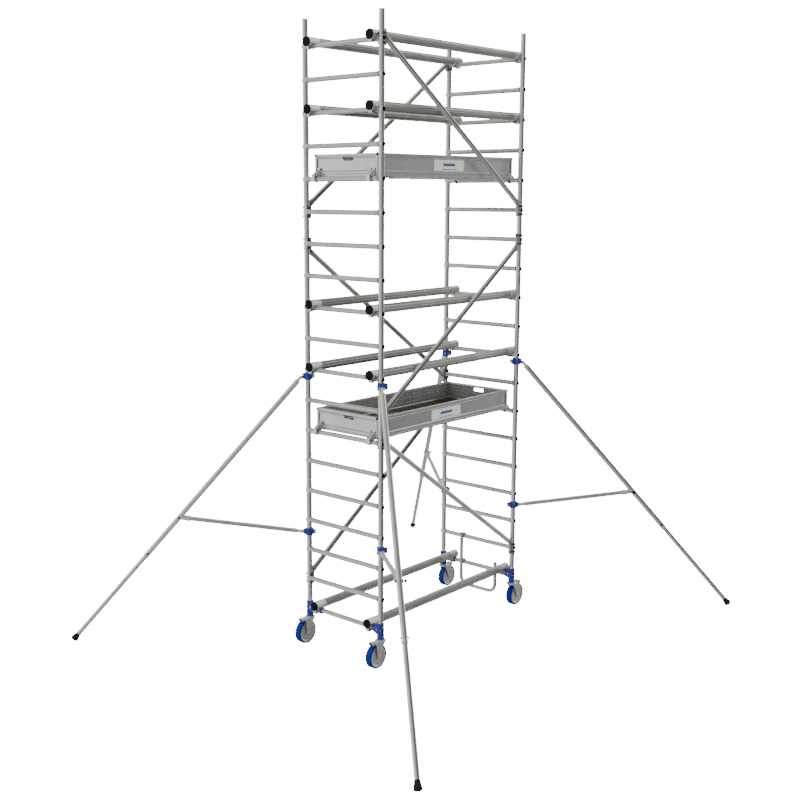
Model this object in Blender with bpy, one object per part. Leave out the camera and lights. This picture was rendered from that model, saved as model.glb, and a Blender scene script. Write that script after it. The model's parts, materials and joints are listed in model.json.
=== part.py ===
"""Mobile tower scaffold: two ladder-frame ends in three stages, rails, braces, two
trapdoor platforms, four braked castors, four telescopic stabilisers and an access step.

Metres, +Z up, the ground at Z = 0, the tower's centre at X = Y = 0. The bay's length runs
along X and the rungs run along Y. Front is -Y, left is -X.
"""
import math

import bmesh
import bpy
from mathutils import Matrix, Vector

# ---------------------------------------------------------------- driving dimensions
BAY_LENGTH = 1.80            # between post axes, along X
BAY_WIDTH = 0.78             # between post axes, along Y
RUNG_PITCH = 0.25
LOWEST_RUNG_Z = 0.300
POST_ABOVE_RUNG = 0.205      # post end above a frame's top rung
POST_BELOW_RUNG = 0.045      # post end below a frame's bottom rung
STAGES = (("lower", 1, 7), ("middle", 8, 13), ("upper", 14, 19))

POST_R = 0.0225
RUNG_R = 0.0205
RUNG_FLAT = RUNG_R * math.cos(math.pi / 8)
SPIGOT_R = 0.0170
SPIGOT_LENGTH = 0.150
SPIGOT_PLAY = 0.0006
GAP = 0.0003                 # between pieces that rest on each other

SLEEVE_R = 0.0270            # castor socket on a post's foot
SLEEVE_TOP = 0.345
SLEEVE_BOTTOM = 0.2253

RAIL_R = 0.0355
RAIL_Y = 0.320               # guard rails, from the tower's centre plane
RAIL_LIFT = 0.029            # rail axis above the rung axis
RAIL_OVERHANG = 0.062        # rail end beyond the post axis
BASE_TUBE_Y = 0.290
BASE_TUBE_LIFT = 0.037
BASE_TUBE_OVERHANG = 0.055
GUARD_RAIL_RUNGS = {"lower_knee": 9, "lower_hand": 11, "upper_knee": 17, "upper_hand": 19}

BRACE_R = 0.0210
BRACE_END = 0.044            # tube end from the post axis, along the brace
BRACE_OFFSET = 0.035         # brace axis from the rung axis, measured on the post axis
SPINE_HALF = 0.050           # end block behind the jaws
SPINE_EXTRA = 0.020          # its added height on the side where the tube lands
BRACES = (("lower", 7, 2, +1, "left"), ("middle", 13, 8, -1, "right"), ("upper", 19, 14, +1, "left"))

PLATFORM_RUNGS = {"lower": 7, "upper": 15}
TRAY_HALF_X = 0.870
TRAY_HALF_Y = 0.333
TRAY_WALL = 0.022
TRAY_BOTTOM = 0.020          # above the rung axis, as are the next two
DECK_TOP = 0.040
TRAY_TOP = 0.190
TRAY_CLAW_Y = 0.285
HANDLE_Y = (-0.075, 0.035)   # carrying slot in each end board
HANDLE_Z = (0.138, 0.168)    # above the rung axis
HATCH_X = (-0.640, -0.040)
HATCH_HALF_Y = 0.230
HATCH_THICKNESS = 0.012
HATCH_LEDGE = 0.012

WHEEL_R = 0.100
WHEEL_HALF_WIDTH = 0.029
TREAD_HALF_WIDTH = 0.023     # flat part of the tyre
TYRE_SHOULDER = 0.006        # how far the tyre's radius drops at its flanks
FORK_IN = 0.0315             # fork cheeks, from the wheel's centre plane
FORK_OUT = 0.0375
AXLE_HALF = 0.041
PEDAL_HALF = 0.026
WHEEL_TRAIL = 0.055
AXLE_R = 0.0050
PEDAL_HINGE = (0.084, 0.209)  # outward from the swivel axis, height
PEDAL_PIN_R = 0.0030

FOOT_REACH_X = 1.335         # stabiliser foot from its post
FOOT_REACH_Y = 1.480
UPPER_COUPLER_Z = 2.245
LOWER_COUPLER_Z = 0.950
LEG_PIN = (0.058, 2.235)     # from the post axis, height
STRUT_PIN = (0.060, 0.950)
STRUT_JOINT_Z = 1.070
LEG_R = 0.0225
LEG_BORE_R = 0.0200
INNER_LEG_R = 0.0192
OUTER_LEG_END = 1.980        # along the leg, from its pin
INNER_LEG_START = 1.450
LEG_BORE_START = 0.900
COUPLER_HALF = 0.0285        # half a coupler's height
CHEEK_IN = 0.0233            # strut yoke's cheeks, from the leg's centre plane
CHEEK_OUT = 0.0272
STRUT_R = 0.0185
PIN_R = 0.0050
PIN_HOLE_R = 0.0058

STEP_X = 0.867               # access step's tube plane
STEP_Y = (0.155, -0.229)
STEP_BOTTOM_Z = 0.095
STEP_CORNER_R = 0.075
STEP_R = 0.0130

HALF_L = BAY_LENGTH / 2
HALF_W = BAY_WIDTH / 2
CORNERS = {
    "rear_left": (-1, +1),
    "front_left": (-1, -1),
    "rear_right": (+1, +1),
    "front_right": (+1, -1),
}
SIDES = {"front": -1, "rear": +1}
ENDS = {"left": -1, "right": +1}


def rung_z(number):
    """Height of a rung's axis; rung 1 is the lowest."""
    return LOWEST_RUNG_Z + RUNG_PITCH * (number - 1)


# ---------------------------------------------------------------- mesh tools
def start_scene():
    for item in list(bpy.data.objects):
        bpy.data.objects.remove(item, do_unlink=True)


def make_material(name, colour, roughness, metallic):
    material = bpy.data.materials.new(name)
    material.use_nodes = True
    shader = material.node_tree.nodes["Principled BSDF"]
    shader.inputs["Base Color"].default_value = (*colour, 1.0)
    shader.inputs["Roughness"].default_value = roughness
    shader.inputs["Metallic"].default_value = metallic
    return material


def closed_solid(rings, closed_loop=False):
    """Skin a list of point rings; end rings are capped unless the list closes on itself."""
    bm = bmesh.new()
    loops = [[bm.verts.new(point) for point in ring] for ring in rings]
    pairs = list(zip(loops, loops[1:]))
    if closed_loop:
        pairs.append((loops[-1], loops[0]))
    for low, high in pairs:
        count = len(low)
        for i in range(count):
            j = (i + 1) % count
            bm.faces.new((low[i], low[j], high[j], high[i]))
    if not closed_loop:
        bm.faces.new(loops[0])
        bm.faces.new(loops[-1])
    bmesh.ops.recalc_face_normals(bm, faces=bm.faces)
    return bm


def prism(points, travel):
    """A planar outline pushed along a vector."""
    travel = Vector(travel)
    low = [Vector(point) for point in points]
    high = [point + travel for point in low]
    return closed_solid([low, high])


def block(low, high):
    x0, y0, z0 = low
    x1, y1, z1 = high
    outline = [(x0, y0, z0), (x1, y0, z0), (x1, y1, z0), (x0, y1, z0)]
    return prism(outline, (0, 0, z1 - z0))


def circle(centre, axis, start, radius, sides, phase=0.0):
    """Points around an axis; the first lies along start when phase is zero."""
    axis = Vector(axis).normalized()
    first = Vector(start) - axis * axis.dot(Vector(start))
    first.normalize()
    second = axis.cross(first)
    points = []
    for i in range(sides):
        angle = phase + 2 * math.pi * i / sides
        points.append(Vector(centre) + radius * (math.cos(angle) * first + math.sin(angle) * second))
    return points


def rod(begin, end, radius, sides, start=(0, 0, 1), phase=0.0):
    begin, end = Vector(begin), Vector(end)
    rings = [circle(point, end - begin, start, radius, sides, phase) for point in (begin, end)]
    return closed_solid(rings)


def post_rod(x, y, bottom, top, radius=POST_R, sides=12):
    return rod((x, y, bottom), (x, y, top), radius, sides, start=(1, 0, 0))


def rung_rod(x, y0, y1, z):
    return rod((x, y0, z), (x, y1, z), RUNG_R, 8, start=(0, 0, 1), phase=math.pi / 8)


def turned(profile, origin, axis, start, sides, closed_loop=False):
    """Revolve (radius, height) points about an axis."""
    axis = Vector(axis).normalized()
    rings = [circle(Vector(origin) + axis * h, axis, start, r, sides) for r, h in profile]
    return closed_solid(rings, closed_loop)


def rung_mouth(x, y0, y1, z):
    """Cutter that lets a claw drop over a rung, a hair larger than the rung itself."""
    flat = RUNG_FLAT + 0.0004
    chamfer = flat * math.tan(math.pi / 8)
    outline = [(-flat, -0.070), (-flat, chamfer), (-chamfer, flat)]
    outline += [(chamfer, flat), (flat, chamfer), (flat, -0.070)]
    return prism([(x + px, y0, z + pz) for px, pz in outline], (0, y1 - y0, 0))


def mesh_object(name, bms):
    """One object from one or more solids that don't touch each other."""
    mesh = bpy.data.meshes.new(name)
    whole = bmesh.new()
    for bm in bms:
        part = bpy.data.meshes.new("part")
        bm.to_mesh(part)
        bm.free()
        whole.from_mesh(part)
        bpy.data.meshes.remove(part)
    whole.to_mesh(mesh)
    whole.free()
    item = bpy.data.objects.new(name, mesh)
    bpy.context.scene.collection.objects.link(item)
    return item


def combine(target, solids, operation):
    tool = mesh_object("tool", solids)
    modifier = target.modifiers.new("boolean", "BOOLEAN")
    modifier.operation = operation
    modifier.solver = "EXACT"
    modifier.object = tool
    view = bpy.context.evaluated_depsgraph_get()
    result = bpy.data.meshes.new_from_object(target.evaluated_get(view))
    target.modifiers.clear()
    old = target.data
    target.data = result
    bpy.data.meshes.remove(old)
    bpy.data.objects.remove(tool, do_unlink=True)


def build(name, material, layers, cuts=(), origin=(0, 0, 0), parent=None):
    """Union the layers in turn, take the cuts away and put the origin where the piece turns."""
    item = mesh_object(name, layers[0])
    for layer in layers[1:]:
        combine(item, layer, "UNION")
    for layer in cuts:
        combine(item, layer, "DIFFERENCE")
    item.data.name = name
    item.data.materials.clear()
    item.data.materials.append(material)
    item.data.transform(Matrix.Translation(-Vector(origin)))
    item.location = origin
    item.data.shade_smooth()
    item.data.set_sharp_from_angle(angle=math.radians(35))
    if parent:
        item.parent = parent
        item.matrix_parent_inverse = Matrix.Translation(-parent.location)
    return item


# ---------------------------------------------------------------- ladder frames
def socket_wing(x, side):
    """Blue arm that ties a castor socket to the lowest rung, open under the base tube's claw."""
    z = LOWEST_RUNG_Z
    gusset = [(0.372, z - 0.038), (0.328, z - 0.024), (0.328, z + 0.024), (0.372, z + 0.038)]
    web = [(0.330, z - 0.034), (0.252, z - 0.032), (0.252, z - 0.012), (0.330, z - 0.012)]
    ring = [(0.2555, z - 0.0255), (0.242, z - 0.0255), (0.242, z + 0.0225), (0.2555, z + 0.0225)]
    solids = []
    for outline, half in ((gusset, 0.0235), (web, 0.0060), (ring, 0.0240)):
        solids.append(prism([(x - half, side * y, h) for y, h in outline], (2 * half, 0, 0)))
    return solids


def make_frame(stage, first, last, end, material):
    x = ENDS[end] * HALF_L
    bottom = rung_z(first) - POST_BELOW_RUNG
    top = rung_z(last) + POST_ABOVE_RUNG
    foot = bottom if stage == "lower" else bottom + GAP
    layers = [[post_rod(x, side * HALF_W, foot, top) for side in SIDES.values()]]
    layers.append([rung_rod(x, -HALF_W, HALF_W, rung_z(n)) for n in range(first, last + 1)])
    if stage == "lower":
        layers.append([
            post_rod(x, side * HALF_W, SLEEVE_BOTTOM, SLEEVE_TOP, SLEEVE_R)
            for side in SIDES.values()
        ])
        for piece in zip(*(socket_wing(x, side) for side in SIDES.values())):
            layers.append(list(piece))
    else:
        layers.append([
            post_rod(x, side * HALF_W, bottom - SPIGOT_LENGTH, bottom + 0.010, SPIGOT_R, 8)
            for side in SIDES.values()
        ])
    bores = [
        post_rod(x, side * HALF_W, top - SPIGOT_LENGTH - 0.010, top + 0.010, SPIGOT_R + SPIGOT_PLAY, 8)
        for side in SIDES.values()
    ]
    build(f"frame_{stage}_{end}", material, layers, [bores])


# ---------------------------------------------------------------- rails and base tubes
def claw_outline(x, z, outward):
    """Cast claw under a rail's end, seen along Y; its outboard leg is the longer one."""
    points = [(0.048, 0.022), (0.048, -0.020), (0.040, -0.030), (0.022, -0.030), (-0.022, -0.016)]
    points += [(-0.034, -0.016), (-0.052, 0.004), (-0.056, 0.022)]
    return [(x + outward * px, z + pz) for px, pz in points]


def make_rail(name, y, rung, lift, overhang, material):
    z = rung_z(rung)
    reach = HALF_L + overhang
    half_claw = 0.017
    tube = rod((-reach, y, z + lift), (reach, y, z + lift), RAIL_R, 10)
    claws = []
    mouths = []
    for outward in ENDS.values():
        x = outward * HALF_L
        outline = [(px, y - half_claw, pz) for px, pz in claw_outline(x, z, outward)]
        claws.append(prism(outline, (0, 2 * half_claw, 0)))
        mouths.append(rung_mouth(x, y - 0.04, y + 0.04, z))
    build(name, material, [[tube], claws], [mouths])


# ---------------------------------------------------------------- diagonal braces
def post_claw(x, y, z, inboard):
    """A C-shaped jaw round a post, open away from the bay."""
    height = 0.018
    outline = []
    for radius, angles in ((0.0310, range(60, 301, 30)), (0.0232, range(300, 59, -30))):
        for angle in angles:
            turn = math.radians(angle)
            outline.append((x - inboard * radius * math.cos(turn), y + radius * math.sin(turn)))
    return prism([(px, py, z - height / 2) for px, py in outline], (0, 0, height))


def make_brace(stage, high_rung, low_rung, offset_sign, high_end, side, material):
    y = side * HALF_W
    high_x = ENDS[high_end] * side * -1 * HALF_L
    rungs = ((high_rung, high_x), (low_rung, -high_x))
    tips = [Vector((x, y, rung_z(n) + offset_sign * BRACE_OFFSET)) for n, x in rungs]
    along = (tips[1] - tips[0]).normalized()
    tube = rod(tips[0] + along * BRACE_END, tips[1] - along * BRACE_END, BRACE_R, 8, start=(0, 1, 0))
    spines = []
    jaws = []
    for n, x in rungs:
        inboard = -math.copysign(1, x)
        low_x, high_spine_x = sorted((x + inboard * 0.0262, x + inboard * 0.0395))
        z = rung_z(n)
        low_z = z - SPINE_HALF + min(offset_sign, 0) * SPINE_EXTRA
        high_z = z + SPINE_HALF + max(offset_sign, 0) * SPINE_EXTRA
        spines.append(block((low_x, y - 0.012, low_z), (high_spine_x, y + 0.012, high_z)))
        jaws.append(post_claw(x, y, z + 0.034, inboard))
        jaws.append(post_claw(x, y, z - 0.034, inboard))
    side_name = "front" if side < 0 else "rear"
    build(f"brace_{stage}_{side_name}", material, [[tube], spines, jaws])


# ---------------------------------------------------------------- platforms
def tray_claw_outline(outward, x, z):
    points = [(-0.034, 0.026), (-0.034, 0.064), (-0.022, 0.064), (0.020, 0.038), (0.034, 0.018)]
    points += [(0.034, -0.016), (0.026, -0.022), (0.012, -0.022), (-0.012, 0.018)]
    return [(x + outward * px, z + pz) for px, pz in points]


def make_tray(level, rung, material):
    z = rung_z(rung)
    shell_low = (-TRAY_HALF_X, -TRAY_HALF_Y, z + TRAY_BOTTOM)
    shell = block(shell_low, (TRAY_HALF_X, TRAY_HALF_Y, z + TRAY_TOP))
    claws = []
    mouths = []
    slots = []
    for outward in ENDS.values():
        x = outward * HALF_L
        for side in SIDES.values():
            y = side * TRAY_CLAW_Y
            outline = [(px, y - 0.018, pz) for px, pz in tray_claw_outline(outward, x, z)]
            claws.append(prism(outline, (0, 0.036, 0)))
            mouths.append(rung_mouth(x, y - 0.03, y + 0.03, z))
        inner, outer = sorted((outward * (TRAY_HALF_X - 0.05), outward * (TRAY_HALF_X + 0.01)))
        slot_low = (inner, HANDLE_Y[0], z + HANDLE_Z[0])
        slots.append(block(slot_low, (outer, HANDLE_Y[1], z + HANDLE_Z[1])))
    half_x = TRAY_HALF_X - TRAY_WALL
    half_y = TRAY_HALF_Y - TRAY_WALL
    tub = block((-half_x, -half_y, z + DECK_TOP), (half_x, half_y, z + TRAY_TOP + 0.01))
    rebate_z = z + DECK_TOP - HATCH_THICKNESS - GAP
    play = 0.0015
    rebate = block(
        (HATCH_X[0] - play, -HATCH_HALF_Y - play, rebate_z),
        (HATCH_X[1] + play, HATCH_HALF_Y + play, z + DECK_TOP + 0.01),
    )
    way_through = block(
        (HATCH_X[0] + HATCH_LEDGE, -HATCH_HALF_Y + HATCH_LEDGE, z + TRAY_BOTTOM - 0.01),
        (HATCH_X[1] - HATCH_LEDGE, HATCH_HALF_Y - HATCH_LEDGE, z + DECK_TOP + 0.01),
    )
    cuts = [mouths, slots, [tub], [rebate], [way_through]]
    build(f"platform_tray_{level}", material, [[shell], claws], cuts)


def make_hatch(level, rung, material):
    top = rung_z(rung) + DECK_TOP
    panel = block((HATCH_X[0], -HATCH_HALF_Y, top - HATCH_THICKNESS), (HATCH_X[1], HATCH_HALF_Y, top))
    hinge = (sum(HATCH_X) / 2, HATCH_HALF_Y, top)
    build(f"hatch_{level}", material, [[panel]], origin=hinge)


# ---------------------------------------------------------------- castors
def make_castor(corner, materials):
    sx, sy = CORNERS[corner]
    x, y = sx * HALF_L, sy * HALF_W
    axle_x, axle_z = x + sx * WHEEL_TRAIL, WHEEL_R
    crown = rod((x, y, 0.2060), (x, y, SLEEVE_BOTTOM - GAP), 0.036, 12, start=(1, 0, 0))
    x0, x1 = sorted((x - sx * 0.030, x + sx * 0.073))
    plate = block((x0, y - FORK_OUT, 0.2045), (x1, y + FORK_OUT, 0.2130))
    cheek = [(-0.014, 0.2110), (0.0780, 0.2160), (0.0910, 0.2160), (0.0910, 0.198), (0.0775, 0.100)]
    cheek += [(0.064, 0.082), (0.046, 0.082), (0.033, 0.094)]
    cheeks = []
    for side in (-1, 1):
        low = y + side * FORK_IN
        outline = [(x + sx * px, low, pz) for px, pz in cheek]
        cheeks.append(prism(outline, (0, side * (FORK_OUT - FORK_IN), 0)))
    axle = rod((axle_x, y - AXLE_HALF, axle_z), (axle_x, y + AXLE_HALF, axle_z), AXLE_R, 8)
    hinge = (x + sx * PEDAL_HINGE[0], y, PEDAL_HINGE[1])
    pin_ends = [(hinge[0], y + side * AXLE_HALF, hinge[2]) for side in (-1, 1)]
    hinge_pin = rod(*pin_ends, PEDAL_PIN_R, 6)
    fork = build(
        f"castor_fork_{corner}", materials["castor steel"],
        [[crown], [plate], cheeks, [axle, hinge_pin]], origin=(x, y, SLEEVE_BOTTOM),
    )

    width = WHEEL_HALF_WIDTH
    shoulder = WHEEL_R - TYRE_SHOULDER
    profile = [(AXLE_R + 0.0009, -width), (shoulder, -width), (WHEEL_R, -TREAD_HALF_WIDTH)]
    profile += [(WHEEL_R, TREAD_HALF_WIDTH), (shoulder, width), (AXLE_R + 0.0009, width)]
    wheel = turned(profile, (axle_x, y, axle_z), (0, 1, 0), (0, 0, -1), 20, closed_loop=True)
    build(f"wheel_{corner}", materials["tyre"], [[wheel]], origin=(axle_x, y, axle_z), parent=fork)

    pedal = [(0.0780, 0.2035), (0.0780, 0.2145), (0.0905, 0.2155), (0.106, 0.2150), (0.116, 0.2095)]
    pedal += [(0.116, 0.2030), (0.0905, 0.2035)]
    outline = [(x + sx * px, y - PEDAL_HALF, pz) for px, pz in pedal]
    hole_r = PEDAL_PIN_R + 0.0006
    pin_hole = rod(*pin_ends, hole_r, 6)
    build(
        f"brake_pedal_{corner}", materials["castor steel"],
        [[prism(outline, (0, 2 * PEDAL_HALF, 0))]], [[pin_hole]], origin=hinge, parent=fork,
    )


# ---------------------------------------------------------------- stabilisers
class StabiliserFrame:
    """Local directions of one stabiliser: outward, sideways and up, from its post's axis."""

    def __init__(self, corner):
        sx, sy = CORNERS[corner]
        self.post = Vector((sx * HALF_L, sy * HALF_W, 0))
        self.out = Vector((sx * FOOT_REACH_X, sy * FOOT_REACH_Y, 0)).normalized()
        self.side = Vector((-sx * self.out.y * sy, sy * self.out.x * sx, 0)).normalized()
        if corner == "rear_right":
            self.side.negate()

    def at(self, reach, aside, height):
        return self.post + self.out * reach + self.side * aside + Vector((0, 0, height))

    def box(self, reach, aside, height):
        corners = [(reach[0], aside[0]), (reach[1], aside[0]), (reach[1], aside[1]), (reach[0], aside[1])]
        return prism([self.at(r, t, height[0]) for r, t in corners], (0, 0, height[1] - height[0]))


def make_coupler(name, place, z, pin, material):
    """Blue cast clamp round a post, with a bolt ear, a hinge ear and a clevis with its pin."""
    low, high = place.at(0, 0, z - COUPLER_HALF), place.at(0, 0, z + COUPLER_HALF)
    band = rod(low, high, 0.034, 12, start=(1, 0, 0))
    ears = [
        place.box((-0.056, -0.028), (-0.008, 0.008), (z - 0.017, z + 0.017)),
        place.box((-0.010, 0.010), (0.028, 0.054), (z - 0.020, z + 0.020)),
        place.box((0.028, 0.071), (0.0125, 0.0185), (z - 0.021, z + 0.021)),
        place.box((0.028, 0.071), (-0.0185, -0.0125), (z - 0.021, z + 0.021)),
    ]
    axle = rod(place.at(pin[0], -0.022, pin[1]), place.at(pin[0], 0.022, pin[1]), PIN_R, 8)
    bore = rod(low - Vector((0, 0, 0.01)), high + Vector((0, 0, 0.01)), 0.0236, 12, start=(1, 0, 0))
    build(name, material, [[band], ears, [axle]], [[bore]], origin=place.at(0, 0, z))


def tongue(place, pin, along, length, half_thickness):
    """Flat tongue from a pin to a tube's end, with the pin's hole cut from it later."""
    across = Vector((-along.z, along.x))
    spine = Vector((along.x, along.z))
    outline = []
    for back, width in ((-0.013, -0.006), (-0.013, 0.006), (-0.006, 0.013), (length, 0.013)):
        outline.append(spine * back + across * width)
    outline += [spine * length - across * 0.013, spine * -0.006 - across * 0.013]
    points = [place.at(pin[0] + p.x, -half_thickness, pin[1] + p.y) for p in outline]
    return prism(points, place.side * 2 * half_thickness)


def make_stabiliser(corner, materials):
    place = StabiliserFrame(corner)
    foot_reach = math.hypot(FOOT_REACH_X, FOOT_REACH_Y)
    run = Vector((foot_reach - LEG_PIN[0], 0, -LEG_PIN[1])).normalized()
    leg_top = place.at(LEG_PIN[0], 0, LEG_PIN[1])
    leg_way = place.out * run.x + Vector((0, 0, run.z))
    under = place.out * run.z + Vector((0, 0, -run.x))

    def on_leg(distance):
        return leg_top + leg_way * distance

    def leg_rod(start, end, radius, sides=10):
        return rod(on_leg(start), on_leg(end), radius, sides, start=under)

    make_coupler(f"upper_coupler_{corner}", place, UPPER_COUPLER_Z, LEG_PIN, materials["blue casting"])
    make_coupler(f"lower_coupler_{corner}", place, LOWER_COUPLER_Z, STRUT_PIN, materials["blue casting"])

    hole_ends = [place.at(LEG_PIN[0], aside, LEG_PIN[1]) for aside in (-0.03, 0.03)]
    pin_hole = rod(*hole_ends, PIN_HOLE_R, 8)
    outer_leg = build(
        f"outer_leg_{corner}", materials["aluminium"],
        [[leg_rod(0.045, OUTER_LEG_END, LEG_R)], [tongue(place, LEG_PIN, run, 0.060, 0.0118)]],
        [[leg_rod(LEG_BORE_START, OUTER_LEG_END + 0.01, LEG_BORE_R)], [pin_hole]],
        origin=leg_top,
    )

    rim_r, rim_h = 0.0275, 0.002
    foot_at = (LEG_PIN[1] - rim_h * -run.z - rim_r * run.x) / -run.z
    bell = [(0.0198, -0.062), (0.0215, -0.060), (0.0300, -0.016), (0.0306, -0.006)]
    bell += [(rim_r, rim_h), (0.0150, 0.008)]
    foot = turned(bell, on_leg(foot_at), leg_way, under, 12)
    inner_rod = leg_rod(INNER_LEG_START, foot_at - 0.030, INNER_LEG_R)
    build(
        f"inner_leg_{corner}", materials["aluminium"],
        [[inner_rod], [foot]], origin=on_leg(INNER_LEG_START), parent=outer_leg,
    )

    joint_distance = (LEG_PIN[1] - STRUT_JOINT_Z) / -run.z
    joint = (LEG_PIN[0] + run.x * joint_distance, STRUT_JOINT_Z)
    reach = math.hypot(joint[0] - STRUT_PIN[0], joint[1] - STRUT_PIN[1])
    strut = Vector(((joint[0] - STRUT_PIN[0]) / reach, 0, (joint[1] - STRUT_PIN[1]) / reach))
    strut_start = place.at(STRUT_PIN[0], 0, STRUT_PIN[1])
    strut_way = place.out * strut.x + Vector((0, 0, strut.z))
    strut_up = place.out * -strut.z + Vector((0, 0, strut.x))

    def strut_box(first, last, aside, half_height):
        corners = [(first, -half_height), (last, -half_height), (last, half_height), (first, half_height)]
        points = [strut_start + strut_way * s + strut_up * h + place.side * aside[0] for s, h in corners]
        return prism(points, place.side * (aside[1] - aside[0]))

    tube_ends = [strut_start + strut_way * distance for distance in (0.045, reach - 0.080)]
    tube = rod(*tube_ends, STRUT_R, 8, start=strut_up)
    yoke = strut_box(reach - 0.090, reach - 0.067, (-CHEEK_OUT - 0.0005, CHEEK_OUT + 0.0005), 0.0165)
    cheeks = [
        strut_box(reach - 0.080, reach + 0.018, (CHEEK_IN, CHEEK_OUT), 0.0140),
        strut_box(reach - 0.080, reach + 0.018, (-CHEEK_OUT, -CHEEK_IN), 0.0140),
    ]
    hole_ends = [place.at(STRUT_PIN[0], aside, STRUT_PIN[1]) for aside in (-0.03, 0.03)]
    strut_hole = rod(*hole_ends, PIN_HOLE_R, 8)
    build(
        f"strut_{corner}", materials["aluminium"],
        [[tube], [tongue(place, STRUT_PIN, strut, 0.060, 0.0118)], [yoke], cheeks],
        [[strut_hole]], origin=strut_start,
    )


# ---------------------------------------------------------------- access step
def make_access_step(material):
    """U-shaped tube hung on the two lowest rungs of the right-hand end."""
    left, right = STEP_Y
    tops = (rung_z(2) + 0.030, rung_z(1) + 0.075)
    spine = [(left, tops[0])]
    centre_z = STEP_BOTTOM_Z + STEP_CORNER_R
    bends = ((left - STEP_CORNER_R, 0), (right + STEP_CORNER_R, 90))
    for centre_y, first_angle in bends:
        for angle in range(first_angle, first_angle + 91, 18):
            turn = math.radians(angle)
            y = centre_y + STEP_CORNER_R * math.cos(turn)
            spine.append((y, centre_z - STEP_CORNER_R * math.sin(turn)))
    spine.append((right, tops[1]))
    points = [Vector((STEP_X, y, z)) for y, z in spine]
    rings = []
    for i, point in enumerate(points):
        before = points[max(i - 1, 0)]
        after = points[min(i + 1, len(points) - 1)]
        rings.append(circle(point, after - before, (1, 0, 0), STEP_R, 8))
    tube = closed_solid(rings)
    hook = [(-0.040, -0.012), (-0.040, 0.012), (-0.026, 0.028), (0.020, 0.030), (0.031, 0.018)]
    hook += [(0.031, -0.014), (0.023, -0.020), (0.012, -0.020), (-0.022, -0.020)]
    hooks = []
    mouths = []
    for y, rung in ((left, 2), (left, 1), (right, 1)):
        z = rung_z(rung)
        hooks.append(prism([(HALF_L + px, y - 0.011, z + pz) for px, pz in hook], (0, 0.022, 0)))
        mouths.append(rung_mouth(HALF_L, y - 0.03, y + 0.03, z))
    build("access_step", material, [[tube], hooks], [mouths])


# ---------------------------------------------------------------- the whole tower
def main():
    start_scene()
    materials = {
        "aluminium": make_material("aluminium", (0.62, 0.63, 0.60), 0.35, 1.0),
        "blue casting": make_material("blue casting", (0.03, 0.08, 0.42), 0.45, 0.0),
        "castor steel": make_material("castor steel", (0.55, 0.55, 0.53), 0.40, 1.0),
        "tyre": make_material("tyre", (0.03, 0.09, 0.45), 0.60, 0.0),
        "plywood": make_material("plywood", (0.09, 0.03, 0.02), 0.55, 0.0),
    }
    aluminium = materials["aluminium"]
    for stage, first, last in STAGES:
        for end in ENDS:
            make_frame(stage, first, last, end, aluminium)
    for side_name, side in SIDES.items():
        for level, rung in GUARD_RAIL_RUNGS.items():
            rail = f"{level}_rail_{side_name}"
            make_rail(rail, side * RAIL_Y, rung, RAIL_LIFT, RAIL_OVERHANG, aluminium)
        base_tube = f"base_tube_{side_name}"
        make_rail(base_tube, side * BASE_TUBE_Y, 1, BASE_TUBE_LIFT, BASE_TUBE_OVERHANG, aluminium)
        for stage, high_rung, low_rung, offset_sign, high_end in BRACES:
            make_brace(stage, high_rung, low_rung, offset_sign, high_end, side, aluminium)
    for level, rung in PLATFORM_RUNGS.items():
        make_tray(level, rung, aluminium)
        make_hatch(level, rung, materials["plywood"])
    for corner in CORNERS:
        make_castor(corner, materials)
        make_stabiliser(corner, materials)
    make_access_step(aluminium)


main()
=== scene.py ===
"""Looks of the mobile tower scaffold: detailed mesh pieces and procedural materials
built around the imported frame. Metres, +Z up, the ground at Z = 0, front is -Y, left is -X.
"""
import json
import math

import bmesh
import bpy
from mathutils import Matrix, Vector

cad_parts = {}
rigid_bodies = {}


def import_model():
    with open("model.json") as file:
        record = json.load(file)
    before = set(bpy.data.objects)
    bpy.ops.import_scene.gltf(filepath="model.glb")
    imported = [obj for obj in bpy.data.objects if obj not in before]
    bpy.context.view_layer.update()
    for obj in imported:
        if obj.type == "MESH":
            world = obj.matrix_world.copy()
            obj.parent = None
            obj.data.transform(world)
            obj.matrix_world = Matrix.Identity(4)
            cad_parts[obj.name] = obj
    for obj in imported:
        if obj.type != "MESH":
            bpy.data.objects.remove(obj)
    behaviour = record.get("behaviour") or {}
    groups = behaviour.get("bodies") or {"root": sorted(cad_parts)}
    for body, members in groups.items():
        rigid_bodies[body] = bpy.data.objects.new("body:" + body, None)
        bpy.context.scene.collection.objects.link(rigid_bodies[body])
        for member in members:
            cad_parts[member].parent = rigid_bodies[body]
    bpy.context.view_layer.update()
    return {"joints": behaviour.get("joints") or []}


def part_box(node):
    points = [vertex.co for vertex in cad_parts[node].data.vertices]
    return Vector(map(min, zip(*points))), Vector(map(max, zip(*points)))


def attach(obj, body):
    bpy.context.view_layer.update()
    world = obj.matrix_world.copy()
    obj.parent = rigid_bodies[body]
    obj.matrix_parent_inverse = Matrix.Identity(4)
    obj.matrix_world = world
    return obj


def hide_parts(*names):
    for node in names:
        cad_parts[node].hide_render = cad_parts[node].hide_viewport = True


for item in list(bpy.data.objects):
    bpy.data.objects.remove(item, do_unlink=True)

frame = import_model()
JOINTS = {joint["name"]: joint for joint in frame["joints"]}

# ---------------------------------------------------------------- dimensions
post_low, post_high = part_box("frame_upper_right")
POST_R = (post_high.x - post_low.x) / 2
HALF_L = (post_high.x + post_low.x) / 2
HALF_W = post_high.y - POST_R
POST_BORE = POST_R - 0.0032
RUNG_PITCH = 0.25
LOWEST_RUNG_Z = 0.3
RUNG_R = 0.02
STAGES = {"lower": (1, 7), "middle": (8, 13), "upper": (14, 19)}
POST_ABOVE_RUNG = 0.205
POST_BELOW_RUNG = 0.045
SEAM = 0.0003

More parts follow.
